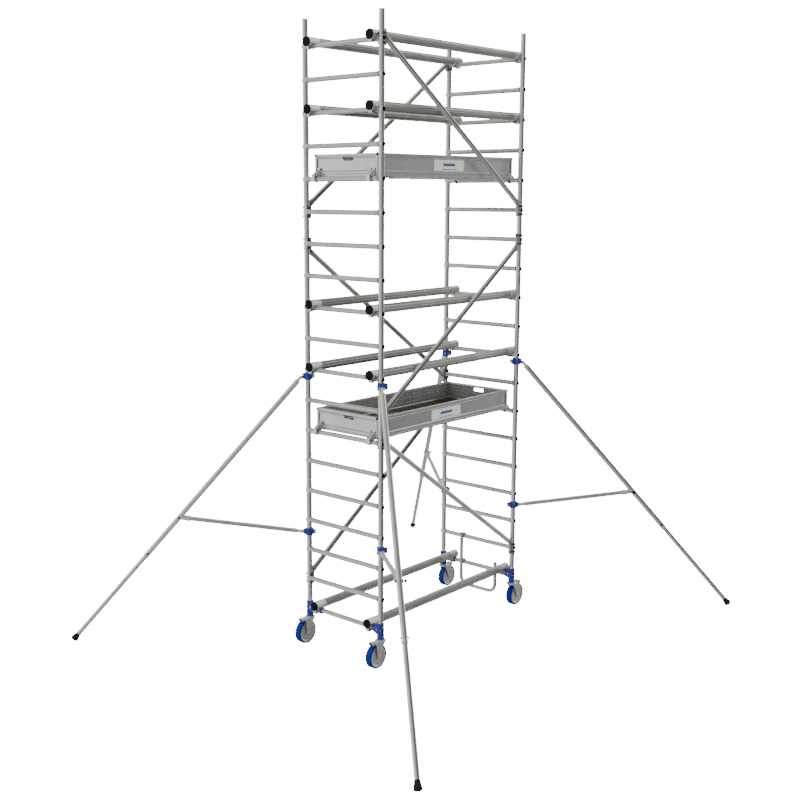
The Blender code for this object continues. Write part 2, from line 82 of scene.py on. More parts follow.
RAIL_R = 0.0355
BRACE_R = 0.021
BRACE_WALL = 0.0045
BRACE_OFFSET = 0.035           # brace axis from the rung axis, on the post axis
BRACES = (("lower", 7, 2, +1, "left"), ("middle", 13, 8, -1, "right"), ("upper", 19, 14, +1, "left"))

PLATFORM_RUNGS = {"lower": 7, "upper": 15}
TRAY_HALF_X = 0.87
TRAY_HALF_Y = 0.333
TRAY_CLAW_Y = 0.285
BOARD_THICKNESS = 0.022
DECK_TOP = 0.04
DECK_THICKNESS = 0.012

STRUT_JOINT_Z = 1.07
LEG_R = 0.0225
INNER_LEG_R = 0.0192
OUTER_LEG_END = 1.98
STRUT_R = 0.0185

CORNERS = {
    "rear_left": (-1, +1),
    "front_left": (-1, -1),
    "rear_right": (+1, +1),
    "front_right": (+1, -1),
}
SIDES = {"front": -1, "rear": +1}
ENDS = {"left": -1, "right": +1}
UP = Vector((0, 0, 1))


def rung_z(number):
    """Height of a rung's axis; rung 1 is the lowest."""
    return LOWEST_RUNG_Z + RUNG_PITCH * (number - 1)


# ---------------------------------------------------------------- materials
class Surface:
    """A node material; helpers add one node each and return its output."""

    def __init__(self, name, colour, roughness, metallic=0.0, **sockets):
        self.material = bpy.data.materials.new(name)
        self.material.use_nodes = True
        self.tree = self.material.node_tree
        self.shader = self.tree.nodes["Principled BSDF"]
        self.shader.inputs["Base Color"].default_value = (*colour, 1.0)
        self.shader.inputs["Roughness"].default_value = roughness
        self.shader.inputs["Metallic"].default_value = metallic
        for socket, value in sockets.items():
            self.shader.inputs[socket.replace("_", " ")].default_value = value
        self.coordinates = self.tree.nodes.new("ShaderNodeTexCoord")

    def scaled(self, source="Object", scale=(1, 1, 1)):
        node = self.tree.nodes.new("ShaderNodeMapping")
        node.inputs["Scale"].default_value = scale
        self.tree.links.new(self.coordinates.outputs[source], node.inputs["Vector"])
        return node.outputs["Vector"]

    def noise(self, vector, scale, detail=3.0, roughness=0.55):
        node = self.tree.nodes.new("ShaderNodeTexNoise")
        node.inputs["Scale"].default_value = scale
        node.inputs["Detail"].default_value = detail
        node.inputs["Roughness"].default_value = roughness
        self.tree.links.new(vector, node.inputs["Vector"])
        return node.outputs["Fac"]

    def cells(self, vector, scale, randomness=1.0, output="Distance"):
        node = self.tree.nodes.new("ShaderNodeTexVoronoi")
        node.inputs["Scale"].default_value = scale
        node.inputs["Randomness"].default_value = randomness
        self.tree.links.new(vector, node.inputs["Vector"])
        return node.outputs[output]

    def remap(self, value, low, high, to_low, to_high):
        node = self.tree.nodes.new("ShaderNodeMapRange")
        for socket, number in zip(node.inputs[1:5], (low, high, to_low, to_high)):
            socket.default_value = number
        self.tree.links.new(value, node.inputs["Value"])
        return node.outputs["Result"]

    def share(self, value, low=0.3, high=0.7):
        """0 to 1 as the value goes from low to high."""
        return self.remap(value, low, high, 0.0, 1.0)

    def maths(self, operation, a, b=None):
        node = self.tree.nodes.new("ShaderNodeMath")
        node.operation = operation
        for socket, value in zip(node.inputs, (a, b)):
            if isinstance(value, (int, float)):
                socket.default_value = value
            elif value is not None:
                self.tree.links.new(value, socket)
        return node.outputs["Value"]

    def mix(self, factor, low, high):
        node = self.tree.nodes.new("ShaderNodeMix")
        node.data_type = "RGBA"
        self.tree.links.new(factor, node.inputs[0])
        for socket, colour in ((node.inputs[6], low), (node.inputs[7], high)):
            if isinstance(colour, tuple):
                socket.default_value = (*colour, 1.0)
            else:
                self.tree.links.new(colour, socket)
        return node.outputs[2]

    def bump(self, height, strength, distance):
        node = self.tree.nodes.new("ShaderNodeBump")
        node.inputs["Strength"].default_value = strength
        node.inputs["Distance"].default_value = distance
        self.tree.links.new(height, node.inputs["Height"])
        return node.outputs["Normal"]

    def set(self, socket, value):
        self.tree.links.new(value, self.shader.inputs[socket])


def drawn_aluminium(name, dark, light, rough, metallic=1.0):
    """Mill-finish tube or board: die lines along its length, cloudy oxide and small scuffs."""
    metal = Surface(name, light, rough, metallic)
    lines = metal.noise(metal.scaled("UV", (900, 5, 1)), 1.0, 2.0)
    clouds = metal.noise(metal.scaled(), 7.0, 4.0)
    scuffs = metal.noise(metal.scaled("Object", (1, 1, 0.3)), 160.0, 5.0, 0.7)
    marked = metal.share(scuffs, 0.63, 0.8)
    tone = metal.mix(metal.share(clouds), dark, light)
    duller = tuple(channel * 0.82 for channel in dark)
    metal.set("Base Color", metal.mix(metal.maths("MULTIPLY", marked, 0.18), tone, duller))
    spread = metal.remap(lines, 0.25, 0.75, rough - 0.06, rough + 0.06)
    worn = metal.maths("MULTIPLY", marked, 0.07)
    cloudy = metal.remap(clouds, 0.3, 0.7, 0.03, -0.03)
    metal.set("Roughness", metal.maths("ADD", metal.maths("ADD", spread, worn), cloudy))
    metal.set("Normal", metal.bump(lines, 0.05, 0.0004))
    return metal.material


def cast_metal(name, dark, light, rough, metallic):
    """Sand- or die-cast metal with a fine grain and darker cloudy patches at random."""
    metal = Surface(name, light, rough, metallic)
    grains = metal.noise(metal.scaled(), 420.0, 4.0, 0.65)
    clouds = metal.noise(metal.scaled(), 38.0, 3.0)
    metal.set("Base Color", metal.mix(metal.share(clouds), dark, light))
    metal.set("Roughness", metal.remap(grains, 0.3, 0.7, rough - 0.08, rough + 0.1))
    metal.set("Normal", metal.bump(grains, 0.25, 0.0006))
    return metal.material


def zinc_plate(name):
    """Zinc-plated pressed steel with a faint crystal pattern."""
    metal = Surface(name, (0.72, 0.73, 0.72), 0.34, 0.65)
    crystals = metal.cells(metal.scaled(), 110.0, 1.0, "Color")
    clouds = metal.noise(metal.scaled(), 24.0, 3.0)
    grains = metal.noise(metal.scaled(), 600.0, 3.0)
    tone = metal.mix(metal.share(clouds), (0.62, 0.63, 0.62), (0.76, 0.77, 0.75))
    metal.set("Base Color", metal.mix(metal.remap(crystals, 0.0, 1.0, 0.0, 0.35), tone, (0.82, 0.84, 0.84)))
    metal.set("Roughness", metal.remap(crystals, 0.0, 1.0, 0.27, 0.42))
    metal.set("Normal", metal.bump(grains, 0.12, 0.0003))
    return metal.material


def powder_coat(name, shade, face, edge):
    """Powder coating: orange-peel skin, rubbed paler along its edges."""
    paint = Surface(name, face, 0.38, 0.0, Coat_Weight=0.25, Coat_Roughness=0.25)
    peel = paint.noise(paint.scaled(), 520.0, 2.0)
    clouds = paint.noise(paint.scaled(), 30.0, 3.0)
    geometry = paint.tree.nodes.new("ShaderNodeNewGeometry")
    rubbed = paint.remap(geometry.outputs["Pointiness"], 0.52, 0.62, 0.0, 0.7)
    tone = paint.mix(paint.share(clouds), shade, face)
    paint.set("Base Color", paint.mix(rubbed, tone, edge))
    paint.set("Roughness", paint.remap(clouds, 0.3, 0.7, 0.32, 0.46))
    paint.set("Normal", paint.bump(peel, 0.18, 0.0005))
    return paint.material


def moulded(name, dark, light, rough, grain, strength, **sockets):
    """Moulded plastic or rubber with a fine surface grain and slight wear."""
    skin = Surface(name, light, rough, 0.0, **sockets)
    grains = skin.noise(skin.scaled(), grain, 3.0)
    clouds = skin.noise(skin.scaled(), 45.0, 4.0)
    skin.set("Base Color", skin.mix(skin.share(clouds, 0.35, 0.7), dark, light))
    skin.set("Roughness", skin.remap(clouds, 0.3, 0.7, rough - 0.06, rough + 0.08))
    skin.set("Normal", skin.bump(grains, strength, 0.0004))
    return skin.material


def filmed_plywood(name):
    """Phenolic-filmed plywood: a pressed anti-slip mesh on its faces and plies at its edges."""
    wood = Surface(name, (0.06, 0.03, 0.03), 0.48, 0.0, Specular_IOR_Level=0.4)
    flat = wood.scaled("Object", (1, 1, 0))
    mesh = wood.cells(flat, 190.0, 0.0)
    clouds = wood.noise(wood.scaled(), 5.0, 5.0, 0.6)
    scuffs = wood.noise(wood.scaled("Object", (0.35, 1, 1)), 60.0, 5.0, 0.7)
    film = wood.mix(wood.share(clouds), (0.042, 0.02, 0.02), (0.08, 0.036, 0.034))
    film = wood.mix(wood.remap(scuffs, 0.56, 0.8, 0.0, 0.45), film, (0.14, 0.09, 0.085))
    film = wood.mix(wood.remap(mesh, 0.3, 0.55, 0.0, 0.5), film, (0.022, 0.008, 0.007))
    plies = wood.tree.nodes.new("ShaderNodeTexWave")
    plies.bands_direction = "Z"
    plies.inputs["Scale"].default_value = 110.0
    wood.tree.links.new(wood.scaled(), plies.inputs["Vector"])
    edge = wood.mix(plies.outputs["Fac"], (0.16, 0.085, 0.045), (0.36, 0.23, 0.13))
    parts = wood.tree.nodes.new("ShaderNodeSeparateXYZ")
    wood.tree.links.new(wood.coordinates.outputs["Normal"], parts.inputs["Vector"])
    is_face = wood.share(wood.maths("ABSOLUTE", parts.outputs["Z"]), 0.45, 0.55)
    wood.set("Base Color", wood.mix(is_face, edge, film))
    wood.set("Roughness", wood.remap(scuffs, 0.4, 0.8, 0.4, 0.62))
    wood.set("Normal", wood.bump(mesh, 0.35, 0.0006))
    return wood.material


def printed_plate(name):
    """Plain printed label, slightly yellowed and scuffed."""
    plate = Surface(name, (0.66, 0.69, 0.67), 0.32, 0.0)
    clouds = plate.noise(plate.scaled(), 18.0, 4.0)
    yellowed, clean = (0.82, 0.84, 0.83), (0.9, 0.92, 0.91)
    plate.set("Base Color", plate.mix(plate.share(clouds), yellowed, clean))
    plate.set("Roughness", plate.remap(clouds, 0.3, 0.7, 0.25, 0.42))
    return plate.material


MATERIALS = {
    "post": drawn_aluminium("post_aluminium", (0.62, 0.63, 0.61), (0.77, 0.78, 0.76), 0.2),
    "rung": drawn_aluminium("rung_aluminium", (0.52, 0.53, 0.5), (0.62, 0.63, 0.59), 0.34, 0.85),
    "rail": drawn_aluminium("rail_aluminium", (0.42, 0.43, 0.39), (0.52, 0.53, 0.49), 0.3, 0.85),
    "board": drawn_aluminium("board_aluminium", (0.58, 0.59, 0.57), (0.67, 0.68, 0.66), 0.3, 0.8),
    "brace": drawn_aluminium("brace_aluminium", (0.58, 0.59, 0.56), (0.7, 0.71, 0.68), 0.24),
    "leg": drawn_aluminium("leg_aluminium", (0.66, 0.67, 0.65), (0.8, 0.81, 0.79), 0.2),
    "strut": drawn_aluminium("strut_aluminium", (0.52, 0.53, 0.51), (0.64, 0.65, 0.63), 0.32, 0.85),
    "casting": cast_metal("cast_aluminium", (0.66, 0.67, 0.66), (0.84, 0.85, 0.84), 0.3, 0.75),
    "brace claw": cast_metal("brace_claw_aluminium", (0.34, 0.34, 0.33), (0.5, 0.5, 0.48), 0.34, 0.85),
    "dark casting": cast_metal("dark_cast_claw", (0.055, 0.055, 0.055), (0.11, 0.11, 0.105), 0.42, 0.9),
    "zinc": zinc_plate("zinc_plated_steel"),
    "blue": powder_coat("blue_powder_coat", (0.006, 0.022, 0.26), (0.01, 0.036, 0.36), (0.05, 0.11, 0.5)),
    "tyre": moulded("blue_tyre", (0.003, 0.018, 0.27), (0.006, 0.03, 0.38), 0.5, 480.0, 0.15,
                    Specular_IOR_Level=0.2),
    "hub": moulded("grey_hub", (0.36, 0.35, 0.335), (0.46, 0.45, 0.43), 0.42, 500.0, 0.1),
    "plastic": moulded("black_plastic", (0.004, 0.004, 0.004), (0.009, 0.009, 0.01), 0.5, 700.0, 0.12,
                       Specular_IOR_Level=0.1),
    "rubber": moulded("black_rubber", (0.006, 0.006, 0.006), (0.018, 0.018, 0.018), 0.62, 380.0, 0.22,
                      Specular_IOR_Level=0.3),
    "latch": moulded("red_brown_latch", (0.065, 0.022, 0.015), (0.115, 0.038, 0.026), 0.42, 600.0, 0.12),
    "plywood": filmed_plywood("filmed_plywood"),
    "label": printed_plate("blank_label"),
    "label print": moulded("label_print", (0.05, 0.1, 0.22), (0.08, 0.14, 0.28), 0.4, 700.0, 0.02),
}


# ---------------------------------------------------------------- mesh tools
def round_outline(radius, count=32):
    turns = (2 * math.pi * i / count for i in range(count))
    return [(radius * math.cos(turn), radius * math.sin(turn)) for turn in turns]


def grooved_outline(radius, grooves, depth, width, between=3):
    """A round section with V grooves; groove 0 lies on the first axis."""
    half = width / radius / 2
    pitch = 2 * math.pi / grooves
    outline = []
    for i in range(grooves):
        centre = i * pitch
        for turn, r in ((centre - half, radius), (centre, radius - depth), (centre + half, radius)):
            outline.append((r * math.cos(turn), r * math.sin(turn)))
        for k in range(1, between + 1):
            turn = centre + half + (pitch - 2 * half) * k / (between + 1)
            outline.append((radius * math.cos(turn), radius * math.sin(turn)))
    return outline


def arc(centre, radius, start, end, steps):
    """Points on an arc, angles in degrees."""
    points = []
    for i in range(steps + 1):
        turn = math.radians(start + (end - start) * i / steps)
        points.append((centre[0] + radius * math.cos(turn), centre[1] + radius * math.sin(turn)))
    return points


def rounded_box(low, high, corner, steps):
    """Rectangle with round corners, anticlockwise from its upper right corner."""
    (x0, y0), (x1, y1) = low, high
    right, left, upper, lower = x1 - corner, x0 + corner, y1 - corner, y0 + corner
    points = []
    for k, centre in enumerate(((right, upper), (left, upper), (left, lower), (right, lower))):
        points += arc(centre, corner, 90 * k, 90 * k + 90, steps)
    return points


def ring(centre, along, start, outline, scale=1.0):
    """An outline laid across a direction; its first axis lies along start."""
    along = Vector(along).normalized()
    first = Vector(start) - along * along.dot(Vector(start))
    first.normalize()
    second = along.cross(first)
    return [Vector(centre) + (a * first + b * second) * scale for a, b in outline]


class Piece:
    """Closed shells that become one object."""

    def __init__(self):
        self.bm = bmesh.new()
        self.uv = self.bm.loops.layers.uv.new("UVMap")

    def loft(self, rings, loop=False):
        rows = [[self.bm.verts.new(point) for point in points] for points in rings]
        travelled = [0.0]
        for before, after in zip(rings, rings[1:]):
            travelled.append(travelled[-1] + (after[0] - before[0]).length)
        pairs = [(k, k + 1) for k in range(len(rows) - 1)]
        if loop:
            pairs.append((len(rows) - 1, 0))
            travelled.append(travelled[-1])
        step = (rings[0][1] - rings[0][0]).length
        for k, m in pairs:
            low, high = rows[k], rows[m]
            v0, v1 = travelled[k], travelled[k + 1]
            for i in range(len(low)):
                j = (i + 1) % len(low)
                face = self.bm.faces.new((low[i], low[j], high[j], high[i]))
                spots = ((i * step, v0), ((i + 1) * step, v0), ((i + 1) * step, v1), (i * step, v1))
                for corner, spot in zip(face.loops, spots):
                    corner[self.uv].uv = spot
        if not loop:
            for row in (rows[0], rows[-1]):
                self.cap(row)

    def cap(self, row):
        face = self.bm.faces.new(row)
        face.normal_update()
        first = (row[1].co - row[0].co).normalized()
        second = face.normal.cross(first)
        for corner in face.loops:
            offset = corner.vert.co - row[0].co
            corner[self.uv].uv = (offset.dot(first), offset.dot(second))

    def extrude(self, points, travel):
        low = [Vector(point) for point in points]
        self.loft([low, [point + Vector(travel) for point in low]])

    def plate(self, outline, x, y, z, half, outward=1):
        """An outline in X and Z, half thick to each side along Y; outward -1 turns it round."""
        self.extrude([(x + outward * px, y - half, z + pz) for px, pz in outline], (0, 2 * half, 0))

    def border(self, low, high, top, section, outward):
        """A section carried round a rectangle, outside it (1) or inside it (-1)."""
        (x0, y0), (x1, y1) = low, high
        rings = []
        for x, y, dx, dy in ((x0, y0, -1, -1), (x1, y0, 1, -1), (x1, y1, 1, 1), (x0, y1, -1, 1)):
            points = [(x + outward * dx * px, y + outward * dy * px, top + pz) for px, pz in section]
            rings.append([Vector(point) for point in points])
        self.loft(rings, loop=True)

    def slab(self, low, high):
        x0, y0, z0 = low
        x1, y1, z1 = high
        self.extrude([(x0, y0, z0), (x1, y0, z0), (x1, y1, z0), (x0, y1, z0)], (0, 0, z1 - z0))

    def tube(self, begin, end, outline, bore=None, start=(0, 0, 1), chamfer=0.001):
        begin, end = Vector(begin), Vector(end)
        along = (end - begin).normalized()
        size = max(math.hypot(*point) for point in outline)
        small = 1 - chamfer / size
        rings = [
            ring(begin, along, start, outline, small),
            ring(begin + along * chamfer, along, start, outline),
            ring(end - along * chamfer, along, start, outline),
            ring(end, along, start, outline, small),
        ]
        if bore:
            inside = round_outline(bore, len(outline))
            rings += [ring(end, along, start, inside), ring(begin, along, start, inside)]
        self.loft(rings, loop=bool(bore))

    def lathe(self, profile, origin, axis, start=(0.3, 0.2, 1.0), sides=32, loop=False):
        """Turn (radius, height) points about an axis."""
        axis = Vector(axis).normalized()
        origin = Vector(origin)
        self.loft([ring(origin + axis * h, axis, start, round_outline(r, sides)) for r, h in profile], loop)

    def pin(self, centre, axis, radius, half):
        """Solid pin, half long to each side of its centre."""
        self.lathe([(0.0004, -half), (radius, -half), (radius, half), (0.0004, half)], centre, axis, sides=20)

    def bolt(self, origin, axis, across, height, washer=True):
        """Hexagon head on a washer, standing on a face at origin."""
        r = across / math.sqrt(3)
        rise = 0.0
        if washer:
            rise = 0.0014
            self.lathe([(r * 1.28, 0.0), (r * 1.28, rise * 0.8), (r * 1.22, rise)], origin, axis, sides=24)
        profile = [(r, rise), (r, height * 0.8), (r * 0.86, height)]
        self.lathe(profile, origin, axis, sides=6)

    def plain_object(self, name):
        """The shells as an object with no material, riding on nothing."""
        bmesh.ops.recalc_face_normals(self.bm, faces=self.bm.faces)
        mesh = bpy.data.meshes.new(name)
        self.bm.to_mesh(mesh)
        self.bm.free()
        item = bpy.data.objects.new(name, mesh)
        bpy.context.scene.collection.objects.link(item)
        return item

    def object(self, name, material, body, slot, replaces=(), bevel=0.0, segments=2):
        """The shells as a finished piece: material, edges, body and the node it stands for; slot is not used.
        """
        item = self.plain_object(name)
        mesh = item.data
        mesh.materials.append(MATERIALS[material])
        mesh.shade_smooth()
        if bevel:
            edges = item.modifiers.new("edges", "BEVEL")
            edges.width = bevel
            edges.segments = segments
            edges.limit_method = "ANGLE"
            edges.angle_limit = math.radians(38)
            edges.harden_normals = True
        else:
            mesh.set_sharp_from_angle(angle=math.radians(30))
        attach(item, body)
        if replaces:
            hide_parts(*replaces)
        return item


# ---------------------------------------------------------------- ladder frames
POST_SECTION = grooved_outline(POST_R, 16, 0.0003, 0.0014, 2)
RUNG_SECTION = grooved_outline(RUNG_R, 18, 0.0008, 0.0022, 1)


def make_frame(stage, end):
    node = f"frame_{stage}_{end}"
    first, last = STAGES[stage]
    x = ENDS[end] * HALF_L
    bottom = rung_z(first) - POST_BELOW_RUNG + SEAM
    top = rung_z(last) + POST_ABOVE_RUNG
    numbers = range(first, last + 1)

    posts = Piece()
    for side in SIDES.values():
        y = side * HALF_W
        posts.tube((x, y, bottom), (x, y, top), POST_SECTION, POST_BORE, start=(1, 0, 0), chamfer=0.0014)
    posts.object(f"posts_{stage}_{end}", "post", "tower", "frame_aluminium", [node])

    rungs = Piece()
    flares = Piece()
    plugs = Piece()
    inner_face = HALF_W - POST_R
    outer_face = HALF_W + POST_R
    for n in numbers:
        z = rung_z(n)
        rungs.tube((x, -HALF_W + 0.012, z), (x, HALF_W - 0.012, z), RUNG_SECTION)
        for side in SIDES.values():
            outward = (0, side, 0)
            foot = (x, 0, z)
            swage = [(0.02, inner_face - 0.016), (0.0216, inner_face - 0.013), (0.0224, inner_face - 0.008)]
            swage += [(0.0262, inner_face - 0.002), (0.0268, inner_face + 0.003), (0.02, inner_face + 0.004)]
            flares.lathe(swage, foot, outward, sides=28)
            collar = [(0.015, outer_face - 0.012), (0.0206, outer_face - 0.01), (0.0212, outer_face - 0.003)]
            collar += [(0.02, outer_face - 0.0005), (0.015, outer_face)]
            flares.lathe(collar, foot, outward, sides=28)
            dome = [(0.016, outer_face - 0.003), (0.0166, outer_face + 0.0015), (0.014, outer_face + 0.0055)]
            dome += [(0.008, outer_face + 0.0075), (0.001, outer_face + 0.008)]
            plugs.lathe(dome, foot, outward, sides=24)
    rungs.object(f"rungs_{stage}_{end}", "rung", "tower", "frame_aluminium")
    flares.object(f"rung_flares_{stage}_{end}", "post", "tower", "frame_aluminium")
    plugs.object(f"rung_plugs_{stage}_{end}", "plastic", "tower", "black_plastic")
    if stage == "lower":
        make_sockets(end, x)


def make_sockets(end, x):
    """Blue castings that hold the castors and brace the lowest rung."""
    sockets = Piece()
    bolts = Piece()
    for side in SIDES.values():
        y = side * HALF_W
        sleeve = [(0.0232, 0.2262), (0.0285, 0.2262), (0.03, 0.23), (0.03, 0.262), (0.0278, 0.268)]
        sleeve += [(0.0278, 0.334), (0.0292, 0.34), (0.0292, 0.351), (0.0272, 0.353), (0.0232, 0.353)]
        sockets.lathe(sleeve, (x, y, 0), UP, sides=40, loop=True)
        sections = (
            (0.37, 0.022, 0.256, 0.348),
            (0.35, 0.0225, 0.264, 0.344),
            (0.33, 0.0232, 0.271, 0.335),
        )
        rings = []
        for distance, half, low, high in sections:
            outline = rounded_box((-half, low), (half, high), 0.01, 4)
            rings.append([Vector((x + px, side * distance, pz)) for px, pz in outline])
        sockets.loft(rings)
        web = [(0.332, 0.27), (0.332, 0.279), (0.24, 0.279), (0.24, 0.276), (0.246, 0.268)]
        sockets.extrude([(x - 0.0065, side * py, pz) for py, pz in web], (0.013, 0, 0))
        hoop = [(0.0205, 0.239), (0.0245, 0.2395), (0.025, 0.241), (0.025, 0.251), (0.024, 0.253)]
        hoop += [(0.0205, 0.253)]
        sockets.lathe(hoop, (x, 0, rung_z(1)), (0, side, 0), sides=36, loop=True)
        bolts.bolt((x, y + side * 0.027, 0.322), (0, side, 0), 0.013, 0.0075)
        bolts.bolt((x, y + side * 0.0285, 0.245), (0, side, 0), 0.01, 0.0065)
    sockets.object(f"castor_sockets_{end}", "blue", "tower", "blue_casting", bevel=0.0012)
    bolts.object(f"socket_bolts_{end}", "zinc", "tower", "castor_steel")


# ---------------------------------------------------------------- rails and base tubes
RAIL_SECTION = grooved_outline(RAIL_R, 8, 0.0034, 0.0095, 7)


def claw_outline(lift):
    """Casting under a rail's end, seen along Y with outboard to the right; it grips a rung."""
    seat = RUNG_R + 0.0006
    points = [(0.05, lift - 0.004), (0.0515, 0.004), (0.05, -0.014)]
    points += arc((0.0365, -0.0155), 0.0145, 0, -150, 8)
    points += [(seat + 0.0006, -0.018)]
    points += arc((0.0, 0.0), seat, -6, 186, 14)
    points += [(-seat - 0.0006, -0.01)]
    points += arc((-0.028, -0.0095), 0.007, -20, -160, 6)
    points += [(-0.042, 0.001), (-0.054, 0.008), (-0.06, lift - 0.01)]
    return points


def make_rail(node, rung):
    low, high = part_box(node)
    y = (low.y + high.y) / 2
    z = high.z - RAIL_R
    reach = high.x
    lift = z - rung_z(rung)
    half_claw = 0.0175

    tube = Piece()
    tube.tube((-reach + 0.01, y, z), (reach - 0.01, y, z), RAIL_SECTION, start=(0, 0, 1))
    tube.object(node.replace("_rail", "_rail_tube").replace("base_tube", "base_tube_body"),
                "rail", "tower", "rail_aluminium", [node])

    claws = Piece()
    caps = Piece()
    latches = Piece()
    for outward in ENDS.values():
        x = outward * HALF_L
        claws.plate(claw_outline(lift), x, y, rung_z(rung), half_claw, outward)
        sleeve = [(RAIL_R - 0.002, -0.058), (RAIL_R + 0.0012, -0.058), (RAIL_R + 0.002, -0.055)]
        sleeve += [(RAIL_R + 0.002, reach - HALF_L - 0.016), (RAIL_R + 0.0034, reach - HALF_L - 0.0135)]
        sleeve += [(RAIL_R + 0.0034, reach - HALF_L - 0.0065), (RAIL_R - 0.002, reach - HALF_L - 0.006)]
        claws.lathe(sleeve, (x, y, z), (outward, 0, 0), sides=48, loop=True)
        dome = [(0.02, -0.008), (RAIL_R + 0.002, -0.006), (RAIL_R + 0.002, 0.0), (RAIL_R, 0.0025)]
        dome += [(0.022, 0.004), (0.0205, 0.003), (0.012, 0.0042), (0.001, 0.0046)]
        caps.lathe(dome, (outward * reach, y, z), (outward, 0, 0), sides=48)
        pawl = [(-0.03, -0.0135), (-0.024, -0.0215), (-0.006, -0.0265), (0.013, -0.0255), (0.0145, -0.0225)]
        pawl += [(-0.004, -0.0222), (-0.019, -0.0165), (-0.024, -0.0105)]
        latches.plate(pawl, x, y, rung_z(rung), 0.006, outward)
        for face in (-1, 1):
            for reach_out, drop, across in ((-0.029, 0.0085, 0.008), (0.037, 0.015, 0.011)):
                head_at = (x + outward * reach_out, y + face * half_claw, rung_z(rung) - drop)
                latches.bolt(head_at, (0, face, 0), across, 0.004, washer=False)
    claws.object(f"{node}_claws", "casting", "tower", "rail_aluminium", bevel=0.0016)
    caps.object(f"{node}_end_caps", "plastic", "tower", "black_plastic")
    latches.object(f"{node}_latches", "dark casting", "tower", "castor_steel", bevel=0.0006, segments=1)


# ---------------------------------------------------------------- diagonal braces
BRACE_SECTION = grooved_outline(BRACE_R, 4, 0.0032, 0.009, 9)


def jaw_outline(inner, outer, opening):
    """A C round a post that opens towards the first axis's far side."""
    points = arc((0, 0), outer, opening, 360 - opening, 20)
    tip = math.radians(360 - opening + 8)
    points.append(((inner + outer) / 2 * math.cos(tip), (inner + outer) / 2 * math.sin(tip)))
    points += arc((0, 0), inner, 360 - opening, opening, 20)
    tip = math.radians(opening - 8)
    points.append(((inner + outer) / 2 * math.cos(tip), (inner + outer) / 2 * math.sin(tip)))
    return points


def make_brace(stage, high_rung, low_rung, offset_sign, high_end, side_name):
    node = f"brace_{stage}_{side_name}"
    side = SIDES[side_name]
    y = side * HALF_W
    high_x = -ENDS[high_end] * side * HALF_L
    ends = ((high_rung, high_x), (low_rung, -high_x))
    tips = [Vector((x, y, rung_z(n) + offset_sign * BRACE_OFFSET)) for n, x in ends]
    along = (tips[1] - tips[0]).normalized()

    tube = Piece()
    set_back = along * 0.05
    ends_at = (tips[0] + set_back, tips[1] - set_back)
    tube.tube(*ends_at, BRACE_SECTION, BRACE_R - BRACE_WALL, start=(0, 1, 0))
    tube.object(f"{node}_tube", "brace", "tower", "rail_aluminium", [node])

    claws = Piece()
    latches = Piece()
    for (n, x), tip, inward in zip(ends, tips, (along, -along)):
        z = rung_z(n)
        inboard = -math.copysign(1, x)
        ferrule = [(0.014, 0.046), (0.021, 0.047), (0.0224, 0.052), (0.0224, 0.078), (0.0214, 0.082)]
        ferrule += [(0.014, 0.082)]
        claws.lathe(ferrule, tip, inward, sides=32)
        spine = [(0.0248, -0.046), (0.0248, 0.064), (0.029, 0.07), (0.036, 0.07), (0.041, 0.064)]
        spine += [(0.044, 0.046), (0.044, 0.018), (0.041, -0.046), (0.036, -0.052), (0.029, -0.052)]
        spine = [(px, offset_sign * pz) for px, pz in spine]
        claws.plate(spine, x, y, z, 0.0125, inboard)
        for up in (-1, 1):
            jaw = jaw_outline(0.0231, 0.0318, 60)
            low_z = z + up * 0.034 - 0.009
            latches.extrude([(x - inboard * px, y + py, low_z) for px, py in jaw], (0, 0, 0.018))
            rivet_at = (x + inboard * 0.042, y, z + up * 0.034)
            latches.lathe([(0.0058, -0.004), (0.0058, 0.0018), (0.0034, 0.003), (0.0008, 0.0032)],
                          rivet_at, (inboard, 0, 0), sides=16)
    claws.object(f"{node}_claws", "brace claw", "tower", "castor_steel", bevel=0.0014)
    latches.object(f"{node}_jaws", "latch", "tower", "black_plastic", bevel=0.0012)


# ---------------------------------------------------------------- platforms
def board_outline():
    """Toe board section: (inwards from its outer face, height above the rung axis)."""
    outer = [(0.0015, 0.018), (0.0, 0.02), (0.0, 0.034), (0.0035, 0.0375), (0.0035, 0.04)]
    outer += [(0.0, 0.0435), (0.0, 0.056), (0.008, 0.064), (0.008, 0.154), (0.0, 0.16)]
    outer += [(0.0, 0.164), (0.006, 0.17), (0.006, 0.1735), (0.0, 0.1765), (0.0, 0.187)]
    outer += [(0.0015, 0.1895), (0.0035, 0.1905)]
    inner = [(0.019, 0.1905), (0.0212, 0.1895), (0.022, 0.187), (0.022, 0.17), (0.0175, 0.164)]
    inner += [(0.0175, 0.12), (0.019, 0.119), (0.019, 0.116), (0.0175, 0.115)]
    inner += [(0.0175, 0.082), (0.019, 0.081), (0.019, 0.078), (0.0175, 0.077)]
    inner += [(0.0175, 0.054), (0.022, 0.05), (0.022, 0.018)]
    return outer + inner


def carve(item, cutter):
    """Boolean difference, applied, after which the cutter is gone."""
    modifier = item.modifiers.new("carve", "BOOLEAN")
    modifier.operation = "DIFFERENCE"
    modifier.solver = "EXACT"
    modifier.object = cutter
    view = bpy.context.evaluated_depsgraph_get()
    carved = bpy.data.meshes.new_from_object(item.evaluated_get(view))
    item.modifiers.clear()
    item.data = carved
    carved.set_sharp_from_angle(angle=math.radians(30))
    bpy.data.objects.remove(cutter, do_unlink=True)


